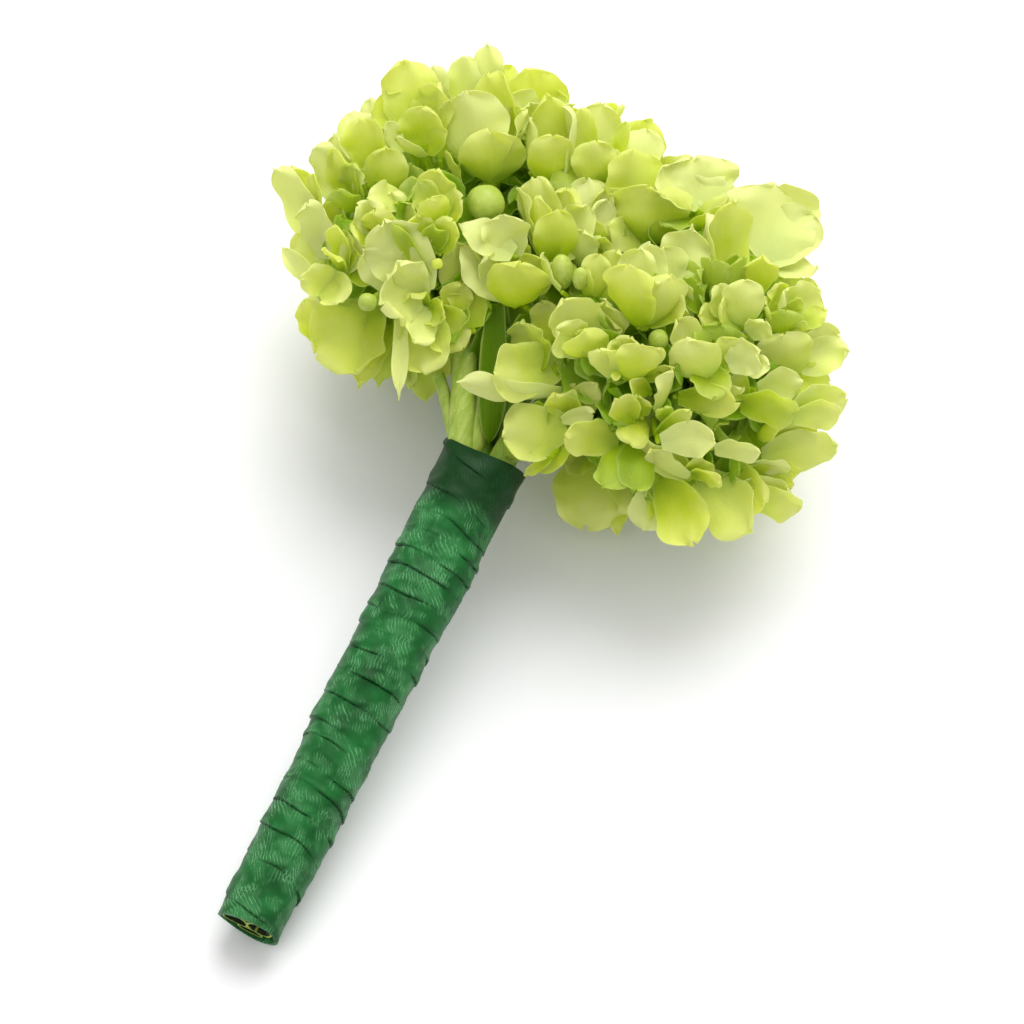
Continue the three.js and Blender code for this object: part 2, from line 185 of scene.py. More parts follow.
def finishPiece(piece, name, material, replaced=(), sharpAngle=50.0):
    mesh = bpy.data.meshes.new(name)
    points = np.concatenate(piece["points"]) * mm
    mesh.from_pydata(points.tolist(), [], piece["faces"])
    for mark in marks:
        values = np.concatenate(piece[mark]).astype(np.float32)
        mesh.attributes.new(mark, "FLOAT", "POINT").data.foreach_set("value", values)
    mesh.materials.append(material)
    mesh.shade_smooth()
    mesh.set_sharp_from_angle(angle=math.radians(sharpAngle))
    made = bpy.data.objects.new(name, mesh)
    bpy.context.scene.collection.objects.link(made)
    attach(made, "root")
    if replaced:
        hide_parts(*replaced)


# Materials
def linear(hexColour):
    parts = [int(hexColour[i:i + 2], 16) / 255 for i in (1, 3, 5)]
    return [c / 12.92 if c <= 0.04045 else ((c + 0.055) / 1.055) ** 2.4 for c in parts] + [1.0]


def newMaterial(name):
    material = bpy.data.materials.new(name)
    material.use_nodes = True
    material.node_tree.nodes.clear()
    return material, functools.partial(addNode, material.node_tree)


# Adds a node with its settings, and its inputs as values, hex colours or outputs of other nodes.
# It gives back the output asked for. kind: a shader node's name, from after ShaderNode. stops: a
# colour ramp's places and colours
def addNode(tree, kind, settings, inputs, output=0):
    node = tree.nodes.new("ShaderNode" + kind)
    for key, value in settings.items():
        if key != "stops":
            setattr(node, key, value)
            continue
        elements = node.color_ramp.elements
        while len(elements) < len(value):
            elements.new(0.5)
        for element, (position, colour) in zip(elements, value):
            element.position = position
            element.color = linear(colour)
    for key, value in inputs.items():
        if isinstance(value, bpy.types.NodeSocket):
            tree.links.new(value, node.inputs[key])
        else:
            node.inputs[key].default_value = linear(value) if isinstance(value, str) else value
    return node.outputs[output] if node.outputs else node


add, times = {"operation": "ADD"}, {"operation": "MULTIPLY"}
timesAdd, power = {"operation": "MULTIPLY_ADD"}, {"operation": "POWER"}
smooth, colours = {"interpolation_type": "SMOOTHSTEP"}, {"data_type": "RGBA"}


# Mixes a look's colours into its body by tone. The share of each is tone * slope + start, from 0
# to most
def addTones(node, body, tone, look):
    shares = {}
    for colour, slope, start, most in look["tones"]:
        share = node("Math", timesAdd, {0: tone, 1: slope, 2: start})
        shares[colour] = node("Clamp", {}, {0: share, 1: 0.0, 2: most})
        body = node("Mix", colours, {0: shares[colour], 6: body, 7: look[colour]}, 2)
    return body, shares


# Light that falls on the surface and light that comes through it, joined by a share
def addThinSurface(node, surface, through, share):
    both = node("MixShader", {}, {0: share, 1: surface, 2: through})
    node("OutputMaterial", {}, {"Surface": both})


# tones: a sepal's tone runs from 1, palest, to 0, and is below 0 for those deep in the head. The
# tone is partly the sepal's own colour and partly painted light and shade: paler where a sepal
# sits in the light, deep green where it sits in shade, greener below 0 as painted light that comes
# through the sepals above, and darker towards -1 as painted shade. Sizes are in millimetres, and
# halfWidth is half a usual sepal's width
sepalLook = {
    "base": "#bad61a", "middle": "#e4ee52", "tip": "#f8faa8", "pale": "#f4f8b8",
    "deep": "#a2c61c", "inner": "#a2ce1e", "hidden": "#5a8410", "speck": "#7a5a1e",
    "through": "#f2f874",
    "tones": [("pale", 1.6, -0.75, 0.68), ("deep", -2.8, 0.75, 0.7), ("inner", -5.0, 0.0, 1.0),
              ("hidden", -1.0, -0.4, 1.0)],
    "blotch": 4.0, "blotchShift": 0.9, "grain": 0.5,
    # the pale margin is partly the sepal's own and partly painted light where the thin edge glows
    "marginFrom": 0.78, "margin": 0.34,    # where the pale margin starts, and how much it shows
    "veinGap": 0.9, "halfWidth": 3.4, "veins": 0.06, "veinWander": 0.2, "veinRelief": 0.5,
    "speckGap": 4.5, "speckSize": 0.055, "speckFew": 0.86, "specks": 0.8,
    "reliefDepth": 0.05, "reliefStrength": 0.25,
    "roughness": 0.42, "ior": 1.42, "gloss": 0.14, "translucent": 0.62,
    "paleThin": -0.3,    # how much less light goes through the palest sepals
}


# Hydrangea sepal: a thin waxy leaf, softly glossy, paler to its edge, and light shines through it.
# The paler edge and the deeper green at its foot are partly its own colour and partly painted
# light and shade. Its veins are finer than a pixel, so they are drawn 0.9 mm apart
def makeSepalMaterial(look):
    material, node = newMaterial("hydrangeaSepal")
    along, across, tone = [node("Attribute", {"attribute_name": mark}, {}, "Fac") for mark in marks]
    place = node("TexCoord", {}, {}, "Object")
    blotch = node("TexNoise", {}, {
        "Vector": place, "Scale": 1 / (look["blotch"] * mm), "Detail": 3.0, "Roughness": 0.55})
    shift = look["blotchShift"]
    wander = node("Math", timesAdd, {0: blotch, 1: shift, 2: -shift / 2})
    height = node("Math", add, {0: along, 1: wander})
    # deeper green at the foot, partly painted shade, to paler at the tip
    stops = [(0.0, look["base"]), (0.45, look["middle"]), (1.0, look["tip"])]
    body = node("ValToRGB", {"stops": stops}, {"Fac": height})
    body, shares = addTones(node, body, tone, look)
    # a paler margin, partly painted light where the thin edge glows
    margin = node("Math", {"operation": "ABSOLUTE"}, {0: across})
    margin = node("MapRange", smooth, {
        "Value": margin, "From Min": look["marginFrom"], "From Max": 1.0, "To Max": look["margin"]})
    body = node("Mix", colours, {0: margin, 6: body, 7: look["pale"]}, 2)
    # veins fan out from the foot
    fan = node("Math", {"operation": "SUBTRACT"}, {0: 1.25, 1: along})
    fan = node("Math", times, {0: across, 1: fan})
    fan = node("Math", timesAdd, {0: wander, 1: look["veinWander"], 2: fan})
    fan = node("Math", times, {0: fan, 1: 6.28 / look["veinGap"] * look["halfWidth"]})
    veins = node("Math", {"operation": "SINE"}, {0: fan})
    veins = node("Math", {"operation": "ABSOLUTE"}, {0: veins})
    veins = node("Math", power, {0: veins, 1: 6.0})
    veinShare = node("Math", times, {0: veins, 1: look["veins"]})
    body = node("Mix", colours, {0: veinShare, 6: body, 7: look["pale"]}, 2)
    # a few brown specks
    cells = node("TexVoronoi", {}, {"Vector": place, "Scale": 1 / (look["speckGap"] * mm)})
    speck = node("Math", {"operation": "LESS_THAN"}, {0: cells, 1: look["speckSize"]})
    few = node("SeparateColor", {}, {0: cells.node.outputs["Color"]})
    few = node("Math", {"operation": "GREATER_THAN"}, {0: few, 1: look["speckFew"]})
    speck = node("Math", times, {0: speck, 1: few})
    speck = node("Math", times, {0: speck, 1: look["specks"]})
    body = node("Mix", colours, {0: speck, 6: body, 7: look["speck"]}, 2)
    grain = node("TexNoise", {}, {
        "Vector": place, "Scale": 1 / (look["grain"] * mm), "Detail": 2.0})
    relief = node("Math", timesAdd, {0: veins, 1: look["veinRelief"], 2: grain})
    bump = node("Bump", {}, {
        "Strength": look["reliefStrength"], "Distance": look["reliefDepth"] * mm, "Height": relief})
    surface = node("BsdfPrincipled", {}, {
        "Base Color": body, "Roughness": look["roughness"], "Normal": bump,
        "IOR": look["ior"], "Specular IOR Level": look["gloss"]})
    glow = node("Mix", colours, {0: 0.5, 6: body, 7: look["through"]}, 2)
    through = node("BsdfTranslucent", {}, {"Color": glow, "Normal": bump})
    thin = node("Math", timesAdd, {
        0: shares["pale"], 1: look["paleThin"], 2: look["translucent"]})
    addThinSurface(node, surface, through, thin)
    return material


# tones: 0.5 and above is bare, 0 is deep green, which on stems in shade is partly painted shade,
# and below 0 is the painted shade in a stem's hollow
greenTones = [("deep", -2.0, 1.0, 0.85), ("hollow", -2.0, 0.0, 0.96)]
budLook = {"deep": "#94b22a", "dark": "#b4c848", "light": "#d2df74", "fleck": "#e4ec9c",
           "hollow": "#121c08", "tones": greenTones, "roughness": 0.42, "pattern": 1.2,
           "stretch": (1, 1, 1)}
stemLook = {"deep": "#4c7a10", "dark": "#8cb02a", "light": "#c0cf66", "fleck": "#d0dc84",
            "hollow": "#121c08", "tones": greenTones, "roughness": 0.5, "pattern": 0.9,
            "stretch": (1, 0.25, 0.5)}
skin = {"fleckGap": 1.1, "fleckSize": 0.14, "flecks": 0.35, "reliefDepth": 0.08,
        "reliefStrength": 0.4, "gloss": 0.4, "through": 0.15}


# Skin of a young bud or stem: smooth and fleshy, mottled along its length, with tiny pale flecks
def makeSkinMaterial(name, look):
    material, node = newMaterial(name)
    tone = node("Attribute", {"attribute_name": "tone"}, {}, "Fac")
    place = node("TexCoord", {}, {}, "Object")
    stretched = node("Mapping", {}, {"Vector": place, "Scale": look["stretch"]})
    noise = node("TexNoise", {}, {
        "Vector": stretched, "Scale": 1 / (look["pattern"] * mm), "Detail": 4.0, "Roughness": 0.6})
    stops = [(0.3, look["dark"]), (0.7, look["light"])]
    body = node("ValToRGB", {"stops": stops}, {"Fac": noise})
    body = addTones(node, body, tone, look)[0]
    cells = node("TexVoronoi", {}, {"Vector": place, "Scale": 1 / (skin["fleckGap"] * mm)})
    flecks = node("Math", {"operation": "LESS_THAN"}, {0: cells, 1: skin["fleckSize"]})
    flecks = node("Math", times, {0: flecks, 1: skin["flecks"]})
    body = node("Mix", colours, {0: flecks, 6: body, 7: look["fleck"]}, 2)
    bump = node("Bump", {}, {
        "Strength": skin["reliefStrength"], "Distance": skin["reliefDepth"] * mm, "Height": noise})
    surface = node("BsdfPrincipled", {}, {
        "Base Color": body, "Roughness": look["roughness"], "Normal": bump,
        "Specular IOR Level": skin["gloss"]})
    through = node("BsdfTranslucent", {}, {"Color": body, "Normal": bump})
    addThinSurface(node, surface, through, skin["through"])
    return material


# Sizes are in millimetres, measured on the tape itself
tapeLook = {
    "deep": "#0a4418", "middle": "#1a662c", "paintedGlint": "#76c482", "shade": "#062c0c", "headShade": "#07300b",
    "cloud": 4.545, "patch": 4.5, "break": 1.6, "grain": 0.25,
    "line": 1.5, "paintedSheen": 0.12, "edge": 0.75, "roughness": 0.42, "glint": 0.2, "gloss": 0.15,
    "reliefDepth": 0.13,
    # bands of fine creases: how far each is turned from the handle, and its spacing
    "creases": [(0.4, 0.38), (0.05, 0.44), (0.85, 0.5)],
    # how far from the head the tape is painted dark, as painted shade under the head, and where that
    # has ended, more or less
    "underHeadShade": (6.5, 9.5), "underHeadShadeMost": 0.92, "underHeadShadeWander": 3.0,
}


# Floral tape: stretched crepe paper in wax, which creases into fine shining lines. The finest are
# finer than a pixel, so they are drawn as wide apart as the coarser ones. The creases, and the
# patches round them, are also painted paler as painted glints and painted sheen
def makeTapeMaterial(look):
    material, node = newMaterial("waxedCrepePaper")
    along, around, edge = [node("Attribute", {"attribute_name": mark}, {}, "Fac") for mark in marks]
    place = node("CombineXYZ", {}, {0: around, 1: along, 2: 0.0})
    cloud = node("TexNoise", {}, {"Vector": place, "Scale": 1 / look["cloud"], "Detail": 4.0})
    grain = node("TexNoise", {}, {
        "Vector": place, "Scale": 1 / look["grain"], "Detail": 3.0, "Roughness": 0.7})
    breaks = node("TexNoise", {}, {
        "Vector": place, "Scale": 1 / look["break"], "Detail": 2.0, "Roughness": 0.6})
    breaks = node("MapRange", smooth, {
        "Value": breaks, "From Min": 0.42, "From Max": 0.56, "To Min": 0.1})
    crease = paintedSheen = 0.0
    for turn, spacing in look["creases"]:
        turned = node("Mapping", {}, {
            "Vector": place, "Rotation": (0, 0, turn), "Location": (turn * 31, turn * 57, 0)})
        wave = node("TexWave", {}, {
            "Vector": turned, "Scale": 0.314 / spacing, "Distortion": 6.0, "Detail": 2.0,
            "Detail Scale": 0.7, "Detail Roughness": 0.6}, "Fac")
        patches = node("TexNoise", {}, {
            "Vector": turned, "Scale": 1 / look["patch"], "Detail": 2.0, "Roughness": 0.6})
        patch = node("MapRange", smooth, {
            "Value": patches, "From Min": 0.5, "From Max": 0.66, "To Min": 0.0})
        lines = node("Math", power, {0: wave, 1: 4.0})
        lines = node("Math", times, {0: lines, 1: patch})
        lines = node("Math", times, {0: lines, 1: breaks})
        crease = node("Math", {"operation": "MAXIMUM"}, {0: lines, 1: crease})
        paintedSheen = node("Math", {"operation": "MAXIMUM"}, {0: patch, 1: paintedSheen})
    stops = [(0.32, look["deep"]), (0.62, look["middle"])]
    body = node("ValToRGB", {"stops": stops}, {"Fac": cloud})
    # painted shade: the tape is painted darker towards the head, where the head shades it
    fromHead = node("Math", timesAdd, {0: cloud, 1: look["underHeadShadeWander"], 2: along})
    end = tapeLength + look["underHeadShadeWander"] / 2
    underHeadShade = node("MapRange", smooth, {
        "Value": fromHead, "From Min": end - look["underHeadShade"][1],
        "From Max": end - look["underHeadShade"][0], "To Max": look["underHeadShadeMost"]})
    # painted sheen and painted glints: the crease patches and crease lines are painted paler
    paintedSheen = node("Math", times, {0: paintedSheen, 1: look["paintedSheen"]})
    paintedGlint = node("Math", times, {0: grain, 1: look["line"]})
    paintedGlint = node("Math", times, {0: crease, 1: paintedGlint})
    # painted shade: a dark line under each free edge of the tape
    shade = node("Math", times, {0: edge, 1: look["edge"]})
    for share, colour in ((paintedSheen, "paintedGlint"), (paintedGlint, "paintedGlint"), (underHeadShade, "headShade"), (shade, "shade")):
        body = node("Mix", colours, {0: share, 6: body, 7: look[colour]}, 2)
    outsideHeadShade = node("Math", {"operation": "SUBTRACT"}, {0: 1.0, 1: underHeadShade})
    crease = node("Math", times, {0: crease, 1: outsideHeadShade})
    relief = node("Math", timesAdd, {0: grain, 1: 0.4, 2: crease})
    shine = look["glint"] - look["roughness"]
    roughness = node("Math", timesAdd, {0: crease, 1: shine, 2: look["roughness"]})
    bump = node("Bump", {}, {
        "Strength": 1.0, "Distance": look["reliefDepth"] * mm, "Height": relief})
    surface = node("BsdfPrincipled", {}, {
        "Base Color": body, "Roughness": roughness, "Normal": bump,
        "Specular IOR Level": look["gloss"]})
    node("OutputMaterial", {}, {"Surface": surface})
    return material


sepalMaterial = makeSepalMaterial(sepalLook)
budMaterial = makeSkinMaterial("hydrangeaBud", budLook)
stemMaterial = makeSkinMaterial("hydrangeaStem", stemLook)
tapeMaterial = makeTapeMaterial(tapeLook)
print("materials made")

# A sepal's form. foot: how wide it is there. widest: how far up it is widest. lobes, nicks, wave,
# lip, crease, swell: how deep each is by its width. floor: the height, in millimetres, below which
# it starts to bend along the table
sepalShape = {
    "fine": (21, 13), "coarse": (12, 7),    # rows and columns of points
    "half": 0.1, "rim": 0.04, "taper": 0.35,    # half its thickness, its rim's, and how much it thins
    "foot": 0.36, "widest": 0.6, "widestSpread": 0.06, "lobes": 0.06, "nicks": 0.015,
    "wave": 0.17, "lip": 0.1, "crease": 0.03, "swell": 0.045, "floor": 1.2,
    "tones": (0.2, 0.75),    # between which a sepal's tone is, where nothing says it
}


# Its half width by height: narrow at its foot, round at its top
def sepalOutline(s, widest, point):
    foot = sepalShape["foot"]
    lower = foot + (1 - foot) * np.sin(np.minimum(s / widest, 1) * math.pi / 2) ** 0.9
    upper = np.maximum(1 - (np.maximum(s - widest, 0) / (1 - widest)) ** (3.0 - point), 0.0) ** 0.5
    return lower * upper


# Its midrib, bent by its arch and curl, then turned so that it ends at the tip
def sepalMidrib(s, length, arch, curl):
    tipPart = np.clip((s - 0.55) / 0.45, 0, 1) ** 1.5
    lean = math.radians(arch) * (1 - s) ** 1.3 - math.radians(curl) * tipPart
    steps = np.diff(s, prepend=0.0)
    out, up = np.cumsum(np.sin(lean) * steps), np.cumsum(np.cos(lean) * steps)
    lean = lean - math.atan2(out[-1], up[-1])
    scale = length / math.hypot(out[-1], up[-1])
    return lean, np.cumsum(np.sin(lean) * steps) * scale, np.cumsum(np.cos(lean) * steps) * scale


# Its margin waves, its rim turns over here and there, and its face swells between the veins
def withRelief(n, s, v, width, wave, phases, speeds, onLeft):
    shape = sepalShape
    ripple = np.sin(s * 11 * speeds[2] + phases[4] + onLeft * phases[5])
    ripple = ripple + 0.5 * np.sin(s * 19 * speeds[3] + phases[6] + onLeft * 2.1)
    n = n + wave * shape["wave"] * width / 2 * ripple * np.abs(v) ** 2.2 * s
    rim = np.clip((np.abs(v) - 0.6) / 0.4, 0, 1) ** 2
    n = n - shape["lip"] * width / 2 * rim * np.sin(s * 5 + phases[7] + onLeft * phases[1]) * s
    n = n - shape["crease"] * width * np.exp(-(v / 0.16) ** 2) * (1 - s) * 0.8
    n = n + shape["swell"] * width * np.sin(s * 6 + v * 3.5 * speeds[0] + phases[5]) * s
    return n + shape["swell"] * 0.6 * width * wave * np.sin(v * 6 * speeds[1] + phases[6]) * s ** 3


# One sepal's sheet of points. facing: the way that its inner face looks, more or less. tip: from
# the eye, in millimetres. cup: half the angle that it is bent across. arch: the angle that it
# bends inward from its foot to its tip. curl: the same for its last part
def sepalSheet(base, facing, tip, width, cup, arch, rng, curl=None, twist=0.0, point=0.1,
               wave=1.0, fine=True):
    shape = sepalShape
    rows, columns = shape["fine"] if fine else shape["coarse"]
    curl = rng.uniform(-30, 25) if curl is None else curl
    ahead = unit(tip)
    away = (facing @ ahead) * ahead - facing
    away = unit(away) if np.linalg.norm(away) > 1e-3 else unit(np.cross(ahead, seenRight))
    side = np.cross(ahead, away)
    s = np.sin(np.linspace(0.03, 0.965, rows) * math.pi / 2)
    widest = shape["widest"] + rng.uniform(-shape["widestSpread"], shape["widestSpread"])
    outline = sepalOutline(s, widest, point)
    lean, out, up = sepalMidrib(s, np.linalg.norm(tip), arch, curl)
    middle = np.outer(out, away) + np.outer(up, ahead)
    tangent = np.outer(np.sin(lean), away) + np.outer(np.cos(lean), ahead)
    normal = np.outer(np.sin(lean), ahead) - np.outer(np.cos(lean), away)
    roll = math.radians(twist) * s + rng.uniform(-0.2, 0.2) + rng.uniform(-0.5, 0.5) * s ** 2
    cosRoll, sinRoll = np.cos(roll)[:, None], np.sin(roll)[:, None]
    sides = np.outer(np.ones(rows), side)
    sides, normal = sides * cosRoll + normal * sinRoll, normal * cosRoll - sides * sinRoll
    s, v = s[:, None], np.linspace(-1, 1, columns)[None, :]
    phases = [rng.uniform(0, 6.28) for i in range(8)]
    speeds = [rng.uniform(0.8, 1.25) for i in range(4)]
    onLeft = (v < 0) * 1.0
    # each side's edge goes in and out on its own, in broad lobes and small nicks
    lobes = np.sin(s * 8 * speeds[0] + phases[0] + onLeft * phases[1])
    nicks = np.sin(s * 27 * speeds[1] + phases[2] + onLeft * phases[3])
    half = outline[:, None] * width / 2
    half = half * (1 + (shape["lobes"] * lobes + shape["nicks"] * nicks) * v ** 2)
    bend = math.radians(cup) * (1.15 - 0.5 * s) * (1 + rng.uniform(-0.35, 0.35) * v)
    bend = np.maximum(np.abs(bend), 0.02)
    x = half * np.sin(bend * v) / bend
    n = half * (1 - np.cos(bend * v)) / bend
    n = withRelief(n, s, v, width, wave, phases, speeds, onLeft)
    drawn = point * 0.1 * np.linalg.norm(tip) * np.exp(-(v / 0.5) ** 2) * s ** 9
    drawn = drawn + 0.03 * width * np.sin(v * 5 * speeds[2] + phases[0]) * s ** 4
    sheet = middle[:, None] + sides[:, None] * x[..., None] + normal[:, None] * n[..., None]
    sheet = base + (sheet + tangent[:, None] * drawn[..., None])
    return sheet, np.broadcast_to(s, sheet.shape[:2]), np.broadcast_to(v, sheet.shape[:2])


# A sepal that would go below the table bends along it instead
def settle(points):
    floor = sepalShape["floor"]
    z = points[..., 2]
    points[..., 2] = np.where(z < floor, floor * np.exp((z - floor) / floor), z)
    return points


# outward: the way that its back looks (right, up, towards), for one that is seen from behind
def addSepal(piece, base, facing, tip, width, cup, arch, rng, tone, outward=None, **options):
    if outward is not None:
        facing = -unit(asSeen(*outward))
    sheet, along, across = sepalSheet(base, facing, tip, width, cup, arch, rng, **options)
    thick = sepalShape["rim"] + (sepalShape["half"] - sepalShape["rim"]) * (1 - np.abs(across) ** 4)
    thick = thick * (1.15 - sepalShape["taper"] * along)
    tone = rng.uniform(*sepalShape["tones"]) if tone is None else tone
    addLeaf(piece, settle(sheet), thick, along, across, tone)


stalk = {"steps": 7, "sides": 8, "bow": 0.04, "ribs": 4, "ribDepth": 0.05, "tone": 0.1,
         "radii": (0.6, 0.85), "budRadii": (0.6, 0.8), "short": 0.1,
         # of a sepal with its own foot: how thick, and how far out from the head's middle it starts
         "thinRadii": (0.35, 0.3), "leaves": 0.55}


def addStalk(piece, start, end, radii, rng):
    sideways = unit(np.cross(end - start, [rng.uniform(-1, 1), rng.uniform(-1, 1), 0.4]))
    shares = np.linspace(0, 1, stalk["steps"])
    path = start + np.outer(shares, end - start)
    path += np.outer(np.sin(shares * math.pi) * np.linalg.norm(end - start) * stalk["bow"], sideways)
    radii = radii[0] + (radii[1] - radii[0]) * shares ** 2
    rings = ringsAlong(path, radii, stalk["sides"], stalk["ribs"], stalk["ribDepth"])
    addTube(piece, rings, 0.1, 0.0, stalk["tone"])


# The tiny true flower in a floret's eye: a round button in four parts
heart = {"rings": 7, "sides": 12, "height": 1.7, "parts": 4, "partDepth": 0.1, "tone": 0.3,
         "radius": 0.55, "shownRadius": 0.7, "shownRise": 2}


def addHeart(piece, eye, facing, radius, rng):
    shares = np.linspace(0.02, 0.98, heart["rings"])
    heights = (0.5 - 0.5 * np.cos(shares * math.pi)) * radius * heart["height"]
    radii = np.sin(shares * math.pi) ** 0.8 * radius
    path = eye + np.outer(heights, facing)
    turn = rng.uniform(0, 3)
    rings = ringsAlong(path, radii, heart["sides"], heart["parts"], heart["partDepth"], turn)
    addTube(piece, rings, 0.55, 0.0, heart["tone"])


def aroundAxis(facing, angle):
    first = unit(np.cross(facing, [0.31, 0.17, 0.93]))
    return first * math.cos(angle) + np.cross(facing, first) * math.sin(angle)


# Sepals spaced evenly round a floret's stalk. opening: degrees that they lean out. towardsMost:
# one that points more than this towards the viewer is left out
def addWhorl(piece, eye, facing, whorl, rng, tone=None, fine=True, towardsMost=1.0):
    turn = rng.uniform(0, 6.28)
    for i in range(whorl["count"]):
        lean = math.radians(whorl["opening"] + rng.uniform(-9, 9))
        length = whorl["size"] * rng.uniform(0.88, 1.08)
        angle = turn + i * 2 * math.pi / whorl["count"] + rng.uniform(-0.15, 0.15)
        tip = aroundAxis(facing, angle) * math.sin(lean) * length + facing * math.cos(lean) * length
        if tip @ seenTowards > towardsMost * length:
            continue
        addSepal(piece, eye, facing, tip, whorl["width"] * rng.uniform(0.88, 1.1),
                 whorl["cup"] * rng.uniform(0.7, 1.25), whorl["arch"] * rng.uniform(0.7, 1.3), rng,
                 tone, curl=rng.uniform(-25, 30), twist=rng.uniform(-14, 14),
                 point=rng.uniform(0.0, 0.6), fine=fine)


# One sepal of a floret: where its tip is seen, how many millimetres its tip rises towards the
# viewer, its width, the degrees that it is bent across and along, and its tone from 1, palest,
# to 0, which is partly its own colour and partly painted light and shade. more: where its own
# foot is seen, how far that is lifted, and addSepal's options
def sepal(x, y, rise, width, cup, arch, tone, **more):
    return {"x": x, "y": y, "rise": rise, "width": width, "cup": cup, "arch": arch,
            "more": {"tone": tone, **more}}


# foot: where its sepals meet, as seen. sink: how far that lies behind the frame's own floret.
# inner: how many small sepals close its eye. heart: where its button is seen, if it is
def floret(foot, sink, *sepals, inner=0, heart=None):
    return {"foot": foot, "sink": sink, "sepals": sepals, "inner": inner, "heart": heart}


